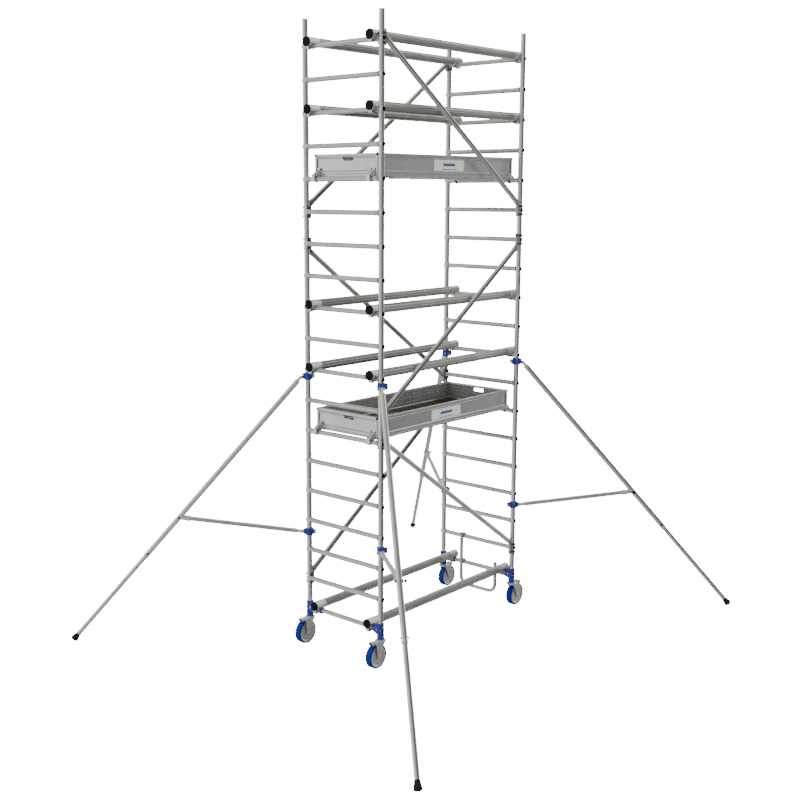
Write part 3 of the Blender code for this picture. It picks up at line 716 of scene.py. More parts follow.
def make_platform(level, rung):
    node = f"platform_tray_{level}"
    z = rung_z(rung)
    section = board_outline()

    sides = Piece()
    for side in SIDES.values():
        outline = [(-TRAY_HALF_X + 0.016, side * (TRAY_HALF_Y - px), z + pz) for px, pz in section]
        sides.extrude(outline, (2 * TRAY_HALF_X - 0.032, 0, 0))
    sides.object(f"tray_side_boards_{level}", "board", "tower", "tray_aluminium", [node])

    for end, outward in ENDS.items():
        boards = Piece()
        outline = [(outward * (TRAY_HALF_X - px), -TRAY_HALF_Y + 0.016, z + pz) for px, pz in section]
        boards.extrude(outline, (0, 2 * TRAY_HALF_Y - 0.032, 0))
        board = boards.object(f"tray_end_board_{level}_{end}", "board", "tower", "tray_aluminium")
        slot = Piece()
        hole = rounded_box((-0.055, 0.136), (0.055, 0.168), 0.012, 6)
        outer_x = outward * (TRAY_HALF_X + 0.01)
        slot.extrude([(outer_x, py - 0.02, z + pz) for py, pz in hole], (-outward * 0.05, 0, 0))
        carve(board, slot.plain_object("cutter"))

    corners = Piece()
    plugs = Piece()
    claws = Piece()
    latches = Piece()
    for outward in ENDS.values():
        for side in SIDES.values():
            x0, y0 = outward * TRAY_HALF_X, side * TRAY_HALF_Y
            turn = 0.02
            profile = arc((turn, turn), turn + 0.001, 180, 270, 8)
            profile += [(0.03, -0.001), (0.03, 0.003), (0.022, 0.003)]
            profile += arc((turn, turn), turn - 0.006, 270, 180, 6)
            profile += [(0.003, 0.022), (0.003, 0.03), (-0.001, 0.03)]
            points = [(x0 - outward * px, y0 - side * py, z + 0.016) for px, py in profile]
            corners.extrude(points, (0, 0, 0.1725))
            plug_at = (x0 - outward * 0.0105, y0 - side * 0.0105, z + 0.187)
            plug = [(0.0095, -0.006), (0.01, 0.0), (0.0092, 0.0045), (0.006, 0.006), (0.0008, 0.0064)]
            plugs.lathe(plug, plug_at, UP, sides=20)
            knob_at = (x0 + outward * 0.0005, y0 - side * 0.012, z + 0.179)
            knob = [(0.0085, -0.002), (0.009, 0.0015), (0.0075, 0.0045), (0.001, 0.0055)]
            plugs.lathe(knob, knob_at, (outward, 0, 0), sides=20)
            make_tray_claw(claws, latches, outward, side, z)
    corners.object(f"tray_corners_{level}", "board", "tower", "tray_aluminium", bevel=0.0008)
    plugs.object(f"tray_plugs_{level}", "plastic", "tower", "black_plastic")
    claws.object(f"tray_claws_{level}", "casting", "tower", "tray_aluminium", bevel=0.0016)
    latches.object(f"tray_latches_{level}", "dark casting", "tower", "castor_steel", bevel=0.0008, segments=1)
    make_deck(level, z)
    make_label(level, z)


def make_tray_claw(claws, latches, outward, side, z):
    """Corner claw: a plate on the end board, an arm over the rung and a hooked nose."""
    x = outward * HALF_L
    y = side * TRAY_CLAW_Y
    seat = RUNG_R + 0.0006
    nose = [(-0.034, 0.018), (-0.034, 0.072), (-0.029, 0.074), (-0.02, 0.068), (0.012, 0.043)]
    nose += arc((0.014, 0.019), 0.022, 70, 0, 6)
    nose += [(0.036, -0.012)]
    nose += arc((0.029, -0.014), 0.007, 0, -150, 6)
    nose += [(seat + 0.0004, -0.015)]
    nose += arc((0.0, 0.0), seat, 0, 152, 12)
    claws.plate(nose, x, y, z, 0.0175, outward)
    pad = [(-0.0345, 0.0185), (-0.03, 0.0185), (-0.03, 0.085), (-0.0345, 0.085)]
    claws.plate(pad, x, y, z, 0.026, outward)
    pawl = [(-0.023, 0.006), (-0.024, -0.012), (-0.012, -0.023), (0.006, -0.025), (0.007, -0.022)]
    pawl += [(-0.008, -0.0195), (-0.0205, -0.009), (-0.0205, 0.006)]
    latches.plate(pawl, x, y, z, 0.008, outward)
    for face in (-1, 1):
        pivot_at = (x + outward * 0.024, y + face * 0.0175, z + 0.019)
        latches.bolt(pivot_at, (0, face, 0), 0.011, 0.0045, washer=False)
        fixing_at = (x - outward * 0.03, y + face * 0.0205, z + 0.076)
        latches.bolt(fixing_at, (outward, 0, 0), 0.009, 0.0045)


def make_deck(level, z):
    """Plywood field round the trapdoor, its metal rim and the joists below."""
    hatch_low, hatch_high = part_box(f"hatch_{level}")
    half_x = TRAY_HALF_X - BOARD_THICKNESS
    half_y = TRAY_HALF_Y - BOARD_THICKNESS
    top = z + DECK_TOP
    gap = 0.0035
    x0, x1 = hatch_low.x - gap, hatch_high.x + gap
    y1 = hatch_high.y + gap
    deck = Piece()
    for low, high in (
        ((-half_x, -half_y), (x0 - 0.004, half_y)),
        ((x1 + 0.004, -half_y), (half_x, half_y)),
        ((x0 - 0.004, y1 + 0.004), (x1 + 0.004, half_y)),
        ((x0 - 0.004, -half_y), (x1 + 0.004, -y1 - 0.004)),
    ):
        deck.slab((*low, top - DECK_THICKNESS), (*high, top))
    deck.object(f"deck_{level}", "plywood", "tower", "deck_plywood")

    rim = Piece()
    outline = [(0.0, 0.0015), (0.004, 0.0015), (0.004, -0.013), (-0.009, -0.013), (-0.009, -0.015)]
    outline += [(0.006, -0.015), (0.006, 0.0015), (0.01, 0.0015), (0.01, 0.0028), (0.0, 0.0028)]
    rim.border((x0, -y1), (x1, y1), top, outline, outward=1)
    joists = (-0.76, x0 - 0.03, x1 + 0.03, 0.27, 0.54, 0.79)
    section = [(-0.015, 0.0), (0.015, 0.0), (0.015, 0.002), (0.0012, 0.002), (0.0012, 0.018)]
    section += [(0.015, 0.018), (0.015, 0.02), (-0.015, 0.02), (-0.015, 0.018)]
    section += [(-0.0012, 0.018), (-0.0012, 0.002), (-0.015, 0.002)]
    for x in joists:
        rim.extrude([(x + px, -half_y, z + 0.0075 + pz) for px, pz in section], (0, 2 * half_y, 0))
    rim.object(f"deck_rim_{level}", "board", "tower", "tray_aluminium")

    rivets = Piece()
    rivet = [(0.0048, 0.0), (0.0044, 0.001), (0.0026, 0.0017), (0.0004, 0.002)]
    for x in (joists[0], joists[3], joists[4], joists[5]):
        for k in range(6):
            y = -half_y * 0.92 + 2 * half_y * 0.92 * k / 5
            rivets.lathe(rivet, (x, y, top), UP, sides=14)
    rivets.object(f"deck_rivets_{level}", "zinc", "tower", "castor_steel")
    make_hatch(level, hatch_low, hatch_high, top)


def make_hatch(level, low, high, top):
    """Trapdoor panel with a metal edge strip, hinge leaves, a finger ring and a latch plate."""
    body = f"hatch_{level}"
    panel = Piece()
    edge = 0.003
    panel_low = (low.x + edge, low.y + edge, top - DECK_THICKNESS)
    panel.slab(panel_low, (high.x - edge, high.y - edge, top - 0.0004))
    panel.object(f"hatch_panel_{level}", "plywood", body, "deck_plywood", [f"hatch_{level}"])
    trim = Piece()
    angle = [(0.0, 0.0), (0.0, -0.012), (0.0028, -0.012), (0.0028, -0.0008), (0.011, -0.0008), (0.011, 0.0)]
    trim.border(low.xy, high.xy, top, angle, outward=-1)
    knuckle = [(0.0005, -0.03), (0.0036, -0.03), (0.0036, 0.03), (0.0005, 0.03)]
    for share in (0.18, 0.82):
        x = low.x + (high.x - low.x) * share
        trim.slab((x - 0.03, high.y - 0.04, top), (x + 0.03, high.y - 0.004, top + 0.0016))
        trim.lathe(knuckle, (x, high.y, top + 0.003), (1, 0, 0), sides=16)
    trim.object(f"hatch_trim_{level}", "board", body, "tray_aluminium")
    fixed = Piece()
    screw = [(0.0042, 0.0), (0.0036, 0.0014), (0.0006, 0.0018)]
    for share in (0.18, 0.82):
        x = low.x + (high.x - low.x) * share
        fixed.slab((x - 0.03, high.y + 0.0085, top + 0.0004), (x + 0.03, high.y + 0.04, top + 0.0018))
        for k in (-1, 1):
            fixed.lathe(screw, (x + k * 0.018, high.y + 0.026, top + 0.0018), UP, sides=14)
    fixed.object(f"hatch_hinge_leaves_{level}", "zinc", "tower", "castor_steel")
    catch = Piece()
    middle = (low.x + high.x) / 2
    pull = [(0.012, 0.0), (0.019, 0.0), (0.02, 0.0012), (0.019, 0.0022), (0.013, 0.0022), (0.012, 0.001)]
    catch.lathe(pull, (middle, low.y + 0.055, top - 0.0004), UP, sides=32, loop=True)
    catch.slab((middle - 0.02, low.y + 0.012, top - 0.0004), (middle + 0.02, low.y + 0.032, top + 0.0016))
    catch.object(f"hatch_catch_{level}", "plastic", body, "black_plastic", bevel=0.0006, segments=1)


def make_label(level, z):
    """Blank plate on the front board with a plain border and two neutral bars."""
    y = -TRAY_HALF_Y + 0.0056
    middle = -0.0075
    plate = Piece()
    outline = rounded_box((-0.1925, 0.0655), (0.1925, 0.1525), 0.006, 4)
    plate.extrude([(px + middle, y, z + pz) for px, pz in outline], (0, 0.0026, 0))
    plate.object(f"label_plate_{level}", "label", "tower", "tray_aluminium", bevel=0.0004, segments=1)
    bars = Piece()
    for width, bar_low, bar_high in ((0.078, 0.104, 0.126), (0.092, 0.076, 0.082)):
        bars.slab((middle - width, y - 0.0005, z + bar_low), (middle + width, y + 0.0006, z + bar_high))
    bars.object(f"label_bars_{level}", "label print", "tower", "black_plastic")


# ---------------------------------------------------------------- castors
def make_castor(corner):
    sx, sy = CORNERS[corner]
    swivel = JOINTS[f"castor_swivel_{corner}"]["pos_m"]
    hub = Vector(JOINTS[f"wheel_spin_{corner}"]["pos_m"])
    hinge = Vector(JOINTS[f"brake_{corner}"]["pos_m"])
    x, y, top = swivel
    wheel_low, wheel_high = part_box(f"wheel_{corner}")
    wheel_r = (wheel_high.z - wheel_low.z) / 2
    half = (wheel_high.y - wheel_low.y) / 2
    cheek_in, cheek_out = half + 0.0032, half + 0.008
    fork_body, wheel_body, pedal_body = f"castor_{corner}", f"wheel_{corner}", f"brake_pedal_{corner}"

    fork = Piece()
    raceway = [(0.001, 0.205), (0.038, 0.205), (0.043, 0.2075), (0.044, 0.2125), (0.0425, 0.2175)]
    raceway += [(0.033, 0.2205), (0.03, 0.2225), (0.0335, 0.2232), (0.0335, 0.225), (0.001, 0.225)]
    fork.lathe(raceway, (x, y, 0), UP, sides=40)
    plate = [(-0.03, -0.03), (-0.03, 0.03), (-0.02, 0.037), (0.07, 0.037), (0.074, 0.033)]
    plate += [(0.074, -0.033), (0.07, -0.037), (-0.02, -0.037)]
    fork.extrude([(x + sx * px, y + py, 0.205) for px, py in plate], (0, 0, 0.0055))
    cheek = [(-0.018, 0.21), (0.07, 0.21), (0.076, 0.2155)]
    cheek += arc((0.084, 0.209), 0.0085, 120, -60, 8)
    cheek += [(0.083, 0.185), (0.076, 0.14), (0.0715, 0.112)]
    cheek += arc((0.055, 0.1), 0.0165, 20, -160, 10)
    cheek += [(0.036, 0.108), (0.019, 0.15), (0.0, 0.185), (-0.012, 0.2)]
    for side in (-1, 1):
        outline = [(x + sx * px, y + side * cheek_in, pz) for px, pz in cheek]
        fork.extrude(outline, (0, side * (cheek_out - cheek_in), 0))
    stands_for = [f"castor_fork_{corner}"]
    fork.object(f"castor_fork_plates_{corner}", "zinc", fork_body, "castor_steel", stands_for, bevel=0.0012)

    fixings = Piece()
    for centre, radius in ((hub, 0.0052), (hinge, 0.003)):
        fixings.pin(centre, (0, 1, 0), radius, cheek_in)
    for side in (-1, 1):
        fixings.bolt(hub + Vector((0, side * cheek_out, 0)), (0, side, 0), 0.017, 0.008)
        fixings.bolt(hinge + Vector((0, side * cheek_out, 0)), (0, side, 0), 0.008, 0.0045)
    fixings.object(f"castor_fixings_{corner}", "zinc", fork_body, "castor_steel")

    tyre = Piece()
    rim_r = 0.082
    tread = [(rim_r, -half + 0.003), (rim_r + 0.003, -half + 0.0006), (wheel_r - 0.008, -half + 0.0006)]
    tread += [(wheel_r - 0.003, -half + 0.0026), (wheel_r - 0.0008, -half + 0.0064), (wheel_r, -half + 0.016)]
    tread += [(r, -h) for r, h in reversed(tread)]
    tyre.lathe(tread, hub, (0, 1, 0), sides=72, loop=True)
    tyre.object(f"tyre_{corner}", "tyre", wheel_body, "castor_wheel", [f"wheel_{corner}"])
    disc = Piece()
    rim = [(0.006, -0.0285), (0.0165, -0.0285), (0.019, -0.023), (0.024, -0.018), (0.062, -0.016)]
    rim += [(0.067, -0.017), (0.07, -0.019), (0.076, -0.02), (rim_r + 0.0005, -0.02)]
    rim += [(r, -h) for r, h in reversed(rim)]
    disc.lathe(rim, hub, (0, 1, 0), sides=60, loop=True)
    spokes = 8
    for k in range(spokes):
        turn = 2 * math.pi * k / spokes
        radial = Vector((math.cos(turn), 0, math.sin(turn)))
        across = Vector((-radial.z, 0, radial.x)) * 0.003
        for side in (-1, 1):
            base = hub + Vector((0, side * 0.0155, 0))
            points = [base + radial * 0.019 - across, base + radial * 0.069 - across * 0.6]
            points += [base + radial * 0.069 + across * 0.6, base + radial * 0.019 + across]
            disc.extrude(points, (0, side * 0.003, 0))
    disc.object(f"wheel_disc_{corner}", "hub", wheel_body, "castor_wheel")
    ring_piece = Piece()
    for side in (-1, 1):
        bead = [(0.069, 0.018), (0.0826, 0.018), (0.0832, 0.0262), (0.0815, 0.0272), (0.079, 0.0262)]
        bead += [(0.0765, 0.0232), (0.07, 0.0205)]
        ring_piece.lathe(bead, hub, (0, side, 0), sides=60, loop=True)
        spacer = [(0.0056, 0.024), (0.013, 0.024), (0.013, 0.03), (0.011, 0.0312), (0.0056, 0.0312)]
        ring_piece.lathe(spacer, hub, (0, side, 0), sides=32, loop=True)
    ring_piece.object(f"wheel_rims_{corner}", "zinc", wheel_body, "castor_steel")

    pedal = Piece()
    lever_half, pad_half = 0.0255, 0.015
    lever = [(-0.0055, -0.0052), (-0.0062, 0.0), (-0.005, 0.007), (0.006, 0.011), (0.023, 0.0112)]
    lever += [(0.032, 0.0078), (0.0335, 0.002), (0.032, -0.0055), (0.028, -0.006), (0.006, -0.005)]
    pedal.plate(lever, *hinge, lever_half, sx)
    stands_for = [f"brake_pedal_{corner}"]
    pedal.object(f"brake_lever_{corner}", "zinc", pedal_body, "castor_steel", stands_for, bevel=0.0012)
    tread_pad = Piece()
    grip = [(0.03, -0.006), (0.03, 0.006), (0.0345, 0.0085), (0.0385, 0.006), (0.0395, 0.0)]
    grip += [(0.037, -0.0065)]
    tread_pad.plate(grip, *hinge, pad_half, sx)
    tread_pad.object(f"brake_pad_{corner}", "plastic", pedal_body, "black_plastic", bevel=0.0008, segments=1)


# ---------------------------------------------------------------- stabilisers
class Stabiliser:
    """Directions and points of one stabiliser, from its joints."""

    def __init__(self, corner):
        sx, sy = CORNERS[corner]
        self.post = Vector((sx * HALF_L, sy * HALF_W, 0))
        self.pin = Vector(JOINTS[f"leg_fold_{corner}"]["pos_m"])
        self.strut_pin = Vector(JOINTS[f"strut_swing_{corner}"]["pos_m"])
        self.way = Vector(JOINTS[f"leg_slide_{corner}"]["axis"]).normalized()
        self.out = Vector((self.way.x, self.way.y, 0)).normalized()
        self.side = Vector((-sx * self.out.y * sy, sy * self.out.x * sx, 0)).normalized()
        if corner == "rear_right":
            self.side.negate()
        distance = (self.pin.z - STRUT_JOINT_Z) / -self.way.z
        self.joint = self.pin + self.way * distance
        self.strut_length = (self.joint - self.strut_pin).length
        self.strut_way = (self.joint - self.strut_pin).normalized()

    def at(self, reach, aside, height):
        return self.post + self.out * reach + self.side * aside + UP * height


def flat_bar(piece, centre, along, across, length, half_width, thickness):
    """Flat bar with a round end at centre, running along, thick both ways along across."""
    up = along.cross(across).normalized()
    outline = [centre + along * length + up * half_width]
    outline += [centre + along * a + up * b for a, b in arc((0, 0), half_width, 90, 270, 10)]
    outline += [centre + along * length - up * half_width]
    piece.extrude([point - across * thickness / 2 for point in outline], across * thickness)


def make_coupler(name, place, z, pin, body):
    """Two-part blue clamp: shells round the post, a bolted gap, a hinge and a clevis."""
    clamp = Piece()
    shell = [(0.0231, -0.0285), (0.0322, -0.0285), (0.034, -0.0265), (0.034, -0.021), (0.0318, -0.019)]
    shell += [(0.0318, 0.019), (0.034, 0.021), (0.034, 0.0265), (0.0322, 0.0285), (0.0231, 0.0285)]
    centre = place.at(0, 0, z)
    clamp.lathe(shell, centre, UP, sides=40, loop=True)

    def box(reach, aside, height):
        corners = [(reach[0], aside[0]), (reach[1], aside[0]), (reach[1], aside[1]), (reach[0], aside[1])]
        clamp.extrude([place.at(r, t, z + height[0]) for r, t in corners], (0, 0, height[1] - height[0]))

    box((-0.056, -0.029), (0.002, 0.01), (-0.0175, 0.0175))
    box((-0.056, -0.029), (-0.01, -0.002), (-0.0175, 0.0175))
    box((0.028, 0.045), (-0.019, 0.019), (-0.02, 0.02))
    clamp.lathe([(0.004, -0.021), (0.0115, -0.021), (0.0115, 0.021), (0.004, 0.021)],
                place.at(0, 0.0425, z), UP, sides=24, loop=True)
    box((-0.011, 0.011), (0.029, 0.042), (-0.018, 0.018))
    clamp.object(f"{name}_shell", "blue", body, "blue_casting", [name], bevel=0.0014)

    hardware = Piece()
    for face in (-1, 1):
        flat_bar(hardware, pin + place.side * face * 0.0155, -place.out, place.side, 0.022, 0.0125, 0.005)
        hardware.bolt(pin + place.side * face * 0.018, place.side * face, 0.015, 0.0085)
        hardware.bolt(place.at(-0.044, face * 0.01, z), place.side * face, 0.013, 0.008)
        hardware.lathe([(0.007, 0.0), (0.007, 0.002), (0.005, 0.0032), (0.0008, 0.0036)],
                       place.at(0, 0.0425, z + face * 0.021), UP * face, sides=20)
    hardware.pin(pin, place.side, 0.005, 0.019)
    hardware.object(f"{name}_hardware", "zinc", body, "castor_steel", bevel=0.0008, segments=1)


LEG_SECTION = grooved_outline(LEG_R, 4, 0.0007, 0.003, 9)
INNER_LEG_SECTION = round_outline(INNER_LEG_R, 40)
STRUT_SECTION = grooved_outline(STRUT_R, 4, 0.0006, 0.0024, 7)


def make_stabiliser(corner):
    place = Stabiliser(corner)
    mount = f"stabiliser_mount_{corner}"
    outer_body, inner_body, strut_body = f"outer_leg_{corner}", f"inner_leg_{corner}", f"strut_{corner}"
    upper_low, upper_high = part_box(f"upper_coupler_{corner}")
    lower_low, lower_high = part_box(f"lower_coupler_{corner}")
    make_coupler(f"upper_coupler_{corner}", place, (upper_low.z + upper_high.z) / 2, place.pin, mount)
    make_coupler(f"lower_coupler_{corner}", place, (lower_low.z + lower_high.z) / 2, place.strut_pin, mount)

    def on_leg(distance):
        return place.pin + place.way * distance

    outer = Piece()
    outer_ends = (on_leg(0.046), on_leg(OUTER_LEG_END))
    outer.tube(*outer_ends, LEG_SECTION, LEG_R - 0.0026, start=place.side, chamfer=0.0012)
    outer.object(f"outer_leg_tube_{corner}", "leg", outer_body, "leg_aluminium", [f"outer_leg_{corner}"])
    fittings = Piece()
    flat_bar(fittings, place.pin, place.way, place.side, 0.07, 0.0128, 0.02)
    plug = [(0.008, 0.036), (0.0195, 0.037), (0.0226, 0.042), (0.0232, 0.048), (0.0232, 0.066)]
    plug += [(0.0226, 0.068), (0.008, 0.068)]
    fittings.lathe(plug, place.pin, place.way, sides=36)
    fittings.object(f"outer_leg_head_{corner}", "casting", outer_body, "leg_aluminium", bevel=0.0014)
    collar = Piece()
    sleeve = [(LEG_R - 0.003, -0.016), (LEG_R + 0.0004, -0.016), (LEG_R + 0.0016, -0.0145)]
    sleeve += [(LEG_R + 0.0016, 0.001), (LEG_R + 0.0004, 0.003)]
    sleeve += [(INNER_LEG_R + 0.0006, 0.0036), (INNER_LEG_R + 0.0006, 0.0)]
    collar.lathe(sleeve, on_leg(OUTER_LEG_END), place.way, sides=40, loop=True)
    collar.object(f"outer_leg_collar_{corner}", "casting", outer_body, "leg_aluminium")
    grips = Piece()
    for face in (-1, 1):
        knob = [(0.003, LEG_R - 0.002), (0.005, LEG_R), (0.005, LEG_R + 0.003), (0.0078, LEG_R + 0.004)]
        knob += [(0.0082, LEG_R + 0.009), (0.006, LEG_R + 0.0115), (0.0008, LEG_R + 0.012)]
        grips.lathe(knob, on_leg(OUTER_LEG_END - 0.035), place.side * face, sides=24)
    grips.object(f"outer_leg_knobs_{corner}", "plastic", outer_body, "black_plastic")

    foot_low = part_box(f"inner_leg_{corner}")[0]
    foot_end = (place.pin.z - foot_low.z) / -place.way.z
    rim_r = 0.0275
    tilt = math.hypot(place.way.x, place.way.y)
    foot_at = foot_end - (0.002 * -place.way.z + rim_r * tilt) / -place.way.z
    inner = Piece()
    inner_ends = (on_leg(OUTER_LEG_END - 0.4), on_leg(foot_at - 0.02))
    inner.tube(*inner_ends, INNER_LEG_SECTION, INNER_LEG_R - 0.0025, start=place.side)
    inner.object(f"inner_leg_tube_{corner}", "leg", inner_body, "leg_aluminium", [f"inner_leg_{corner}"])
    holes = Piece()
    for k in range(5):
        spot = on_leg(OUTER_LEG_END + 0.12 + 0.15 * k)
        for face in (-1, 1):
            hole = [(0.0046, INNER_LEG_R - 0.0016), (0.005, INNER_LEG_R - 0.0004), (0.0042, INNER_LEG_R)]
            hole += [(0.0006, INNER_LEG_R + 0.0003)]
            holes.lathe(hole, spot, place.side * face, sides=18)
    holes.object(f"inner_leg_pin_holes_{corner}", "plastic", inner_body, "black_plastic")
    foot = Piece()
    bell = [(0.015, -0.063), (0.0196, -0.063), (0.0206, -0.0615), (0.0212, -0.056), (0.024, -0.042)]
    bell += [(0.0278, -0.024), (0.0302, -0.014), (0.0306, -0.006), (0.0296, -0.001), (rim_r, 0.002)]
    bell += [(0.02, 0.005), (0.012, 0.007), (0.001, 0.008)]
    foot.lathe(bell, on_leg(foot_at), place.way, sides=40)
    foot.object(f"rubber_foot_{corner}", "rubber", inner_body, "black_rubber")

    make_strut(corner, place, strut_body)


def make_strut(corner, place, body):
    way = place.strut_way
    start = place.strut_pin
    length = place.strut_length
    up = place.side.cross(way).normalized()
    tube = Piece()
    tube_ends = (start + way * 0.05, start + way * (length - 0.082))
    tube.tube(*tube_ends, STRUT_SECTION, STRUT_R - 0.0022, start=place.side)
    tube.object(f"strut_tube_{corner}", "strut", body, "leg_aluminium", [f"strut_{corner}"])
    ends = Piece()
    flat_bar(ends, start, way, place.side, 0.074, 0.0126, 0.02)
    rim = STRUT_R + 0.001
    ferrule = [(0.008, 0.042), (0.014, 0.043), (rim, 0.048), (rim, 0.074), (STRUT_R, 0.078)]
    ferrule += [(0.008, 0.078)]
    ends.lathe(ferrule, start, way, sides=32)
    ferrule = [(0.008, -0.112), (STRUT_R, -0.112), (rim, -0.108), (rim, -0.09), (0.008, -0.088)]
    ends.lathe(ferrule, start + way * length, way, sides=32)
    middle = start + way * (length - 0.0785)
    corners = [(-0.0115, -0.0185), (0.0115, -0.0185), (0.0115, 0.0185), (-0.0115, 0.0185)]
    points = [middle + way * a + up * b - place.side * 0.0274 for a, b in corners]
    ends.extrude(points, place.side * 0.0548)
    joint = start + way * length
    for face in (-1, 1):
        centre = joint + place.side * face * 0.02525
        flat_bar(ends, centre, -way, place.side, 0.08, 0.014, 0.004)
    ends.object(f"strut_fittings_{corner}", "casting", body, "leg_aluminium", bevel=0.0014)
    knob = Piece()
    bulb = [(0.004, 0.027), (0.0075, 0.0275), (0.008, 0.031), (0.005, 0.033), (0.005, 0.037)]
    bulb += [(0.012, 0.04), (0.014, 0.045), (0.013, 0.05), (0.008, 0.054), (0.001, 0.055)]
    knob.lathe(bulb, joint, place.side, sides=28)
    knob.lathe([(0.004, 0.027), (0.0085, 0.0272), (0.0085, 0.032), (0.006, 0.0335), (0.0008, 0.0338)],
               joint, -place.side, sides=24)
    knob.object(f"strut_knob_{corner}", "plastic", body, "black_plastic")


# ---------------------------------------------------------------- access step
def make_access_step():
    """Bent tube hung on the two lowest rungs of the right-hand end."""
    low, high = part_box("access_step")
    radius = 0.0165
    x = low.x + radius
    bend = 0.075
    bottom = low.z + radius
    left, right = 0.155, -0.229
    left_top, right_top = rung_z(2) + 0.03, rung_z(1) + 0.075
    path = [(left, left_top), (left, bottom + bend + 0.02)]
    for centre_y, angles in ((left - bend, range(0, 91, 6)), (right + bend, range(90, 181, 6))):
        path += [
            (centre_y + bend * math.cos(math.radians(a)), bottom + bend - bend * math.sin(math.radians(a)))
            for a in angles
        ]
    path += [(right, bottom + bend + 0.02), (right, right_top)]
    points = [Vector((x, y, z)) for y, z in path]
    rings = []
    for i, point in enumerate(points):
        before, after = points[max(i - 1, 0)], points[min(i + 1, len(points) - 1)]
        rings.append(ring(point, after - before, (1, 0, 0), round_outline(radius, 32)))
    tube = Piece()
    tube.loft(rings)
    tube.object("access_step_tube", "rung", "tower", "frame_aluminium", ["access_step"])
    hooks = Piece()
    seat = RUNG_R + 0.0006
    for y, rung in ((left, 2), (left, 1), (right, 1)):
        z = rung_z(rung)
        hook = [(-0.03, -0.01), (-0.03, 0.022), (-0.02, 0.028)]
        hook += arc((0.004, 0.002), 0.028, 95, -8, 8)
        hook += arc((0.027, -0.013), 0.0048, 0, -180, 6)
        hook += [(seat, -0.004)]
        hook += arc((0.0, 0.0), seat, 0, 180, 12)
        hook += [(-seat, -0.01)]
        hooks.plate(hook, HALF_L, y, z, 0.011)
    hooks.object("access_step_hooks", "casting", "tower", "frame_aluminium", bevel=0.0012)
    plugs = Piece()
    plug = [(radius - 0.001, -0.004), (radius, 0.0), (radius - 0.003, 0.0045), (0.006, 0.0065)]
    plug += [(0.0008, 0.007)]
    for y, z in ((left, left_top), (right, right_top)):
        plugs.lathe(plug, (x, y, z), UP, sides=28)
    plugs.object("access_step_plugs", "plastic", "tower", "black_plastic")


# ---------------------------------------------------------------- the whole tower
for stage_name in STAGES:
    for end_name in ENDS:
        make_frame(stage_name, end_name)
GUARD_RAILS = {"lower_knee": 9, "lower_hand": 11, "upper_knee": 17, "upper_hand": 19}
for where in SIDES:
    for level_name, rung_number in GUARD_RAILS.items():
        make_rail(f"{level_name}_rail_{where}", rung_number)
    make_rail(f"base_tube_{where}", 1)
    for brace in BRACES:
        make_brace(*brace, where)
for level_name, rung_number in PLATFORM_RUNGS.items():
    make_platform(level_name, rung_number)
for corner_name in CORNERS:
    make_castor(corner_name)
    make_stabiliser(corner_name)
make_access_step()


# ---------------------------------------------------------------- stage, light and camera
BACKDROP = 20.0               # radiance of the white sweep, as the camera meets it


def make_floor():
    """Pale floor, white to the camera and left out of what the metal mirrors."""
    floor_piece = Piece()
    floor_piece.slab((-60, -60, -0.02), (60, 60, -0.001))
    floor = floor_piece.plain_object("floor")
    pale = Surface("pale_floor", (0.42, 0.42, 0.42), 0.85)
    path = pale.tree.nodes.new("ShaderNodeLightPath")
    glow = pale.maths("MULTIPLY", path.outputs["Is Camera Ray"], BACKDROP * 0.95)
    pale.shader.inputs["Emission Color"].default_value = (1.0, 1.0, 1.0, 1.0)
    pale.set("Emission Strength", glow)
    floor.data.materials.append(pale.material)
    floor.visible_glossy = False


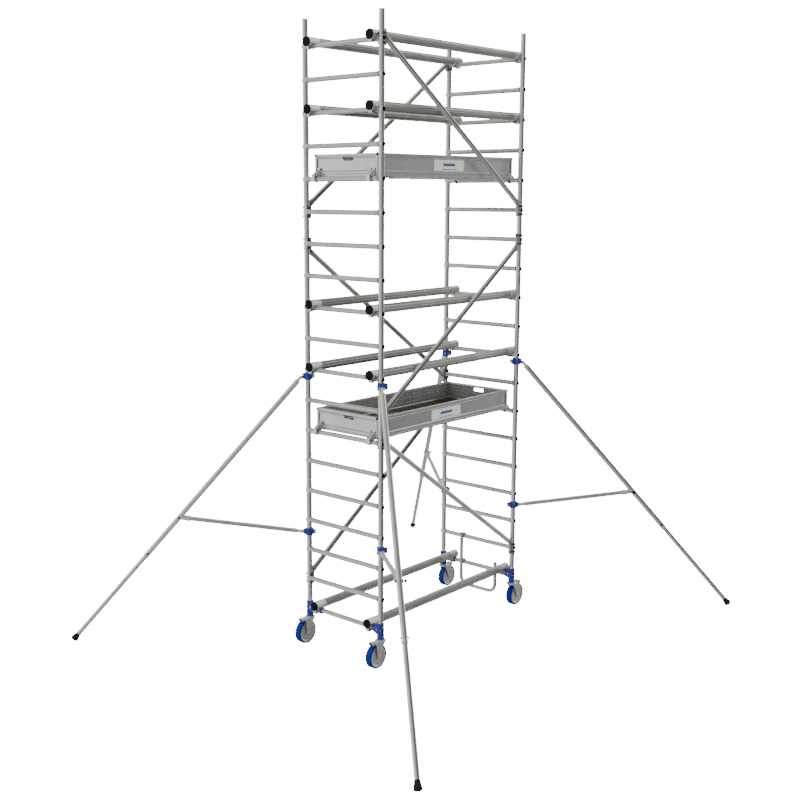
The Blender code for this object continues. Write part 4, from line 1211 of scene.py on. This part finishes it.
def make_world():
    """White to the camera; all else sees a studio with bright walls at the tower's rear left, rear
    right and right, dimmer ones at its front left, above and below, and a dark front right."""
    world = bpy.data.worlds.new("studio")
    bpy.context.scene.world = world
    world.use_nodes = True
    tree = world.node_tree
    background = tree.nodes["Background"]
    coordinates = tree.nodes.new("ShaderNodeTexCoord")

    def facing(direction, low, high, bright):
        dot = tree.nodes.new("ShaderNodeVectorMath")
        dot.operation = "DOT_PRODUCT"
        dot.inputs[1].default_value = Vector(direction).normalized()
        tree.links.new(coordinates.outputs["Generated"], dot.inputs[0])
        shape = tree.nodes.new("ShaderNodeMapRange")
        shape.interpolation_type = "SMOOTHSTEP"
        for socket, value in zip(shape.inputs[1:5], (low, high, 0.0, bright)):
            socket.default_value = value
        tree.links.new(dot.outputs["Value"], shape.inputs["Value"])
        return shape.outputs["Result"]

    def add(a, b):
        node = tree.nodes.new("ShaderNodeMath")
        node.operation = "ADD"
        tree.links.new(a, node.inputs[0])
        if isinstance(b, float):
            node.inputs[1].default_value = b
        else:
            tree.links.new(b, node.inputs[1])
        return node.outputs["Value"]

    # direction of a wall, the cosines at which its glow starts and is full, its brightness
    lobes = (
        ((-0.85, -0.52, -0.1), 0.7, 0.98, 0.4),
        ((-0.76, 0.65, 0.05), 0.55, 0.995, 1.15),
        ((0.62, 0.78, -0.05), 0.62, 0.95, 0.9),
        ((0.97, -0.05, 0.12), 0.78, 0.97, 1.0),
        ((0.7, -0.1, 0.75), 0.8, 0.98, 0.8),
        ((-0.3, 0.15, 1.0), 0.6, 0.95, 0.4),
        ((0.0, 0.0, -1.0), 0.3, 0.95, 0.35),
    )
    total = facing(*lobes[0])
    for lobe in lobes[1:]:
        total = add(total, facing(*lobe))
    total = add(total, 0.15)
    path = tree.nodes.new("ShaderNodeLightPath")
    choose = tree.nodes.new("ShaderNodeMix")
    choose.inputs["B"].default_value = BACKDROP
    tree.links.new(path.outputs["Is Camera Ray"], choose.inputs["Factor"])
    tree.links.new(total, choose.inputs["A"])
    tree.links.new(choose.outputs["Result"], background.inputs["Strength"])
    background.inputs["Color"].default_value = (1.0, 1.0, 1.0, 1.0)


def make_light(name, location, target, size, power, mirrored=True):
    lamp = bpy.data.lights.new(name, "AREA")
    lamp.shape = "RECTANGLE"
    lamp.size, lamp.size_y = size
    lamp.energy = power
    item = bpy.data.objects.new(name, lamp)
    bpy.context.scene.collection.objects.link(item)
    item.location = location
    item.rotation_euler = (Vector(target) - Vector(location)).to_track_quat("-Z", "Y").to_euler()
    item.visible_glossy = mirrored


def make_camera():
    data = bpy.data.cameras.new("camera")
    data.sensor_width = 36.0
    data.lens = 51.67
    data.shift_x = 0.0408
    data.shift_y = -0.0099
    camera = bpy.data.objects.new("camera", data)
    bpy.context.scene.collection.objects.link(camera)
    camera.location = (-7.388, -6.045, 3.702)
    downward, heading = 9.88, -48.23               # degrees
    camera.rotation_euler = (math.radians(90 - downward), 0.0, math.radians(heading))
    bpy.context.scene.camera = camera


make_floor()
make_world()
make_light("key", (-7.5, 2.0, 6.5), (0, 0, 2.3), (3.0, 5.0), 280, mirrored=False)
make_light("top", (0.0, 0.0, 9.0), (0, 0, 0), (5.0, 4.0), 60)
make_light("fill", (3.5, -8.0, 4.0), (0, 0, 2.3), (4.0, 4.0), 420, mirrored=False)
make_camera()
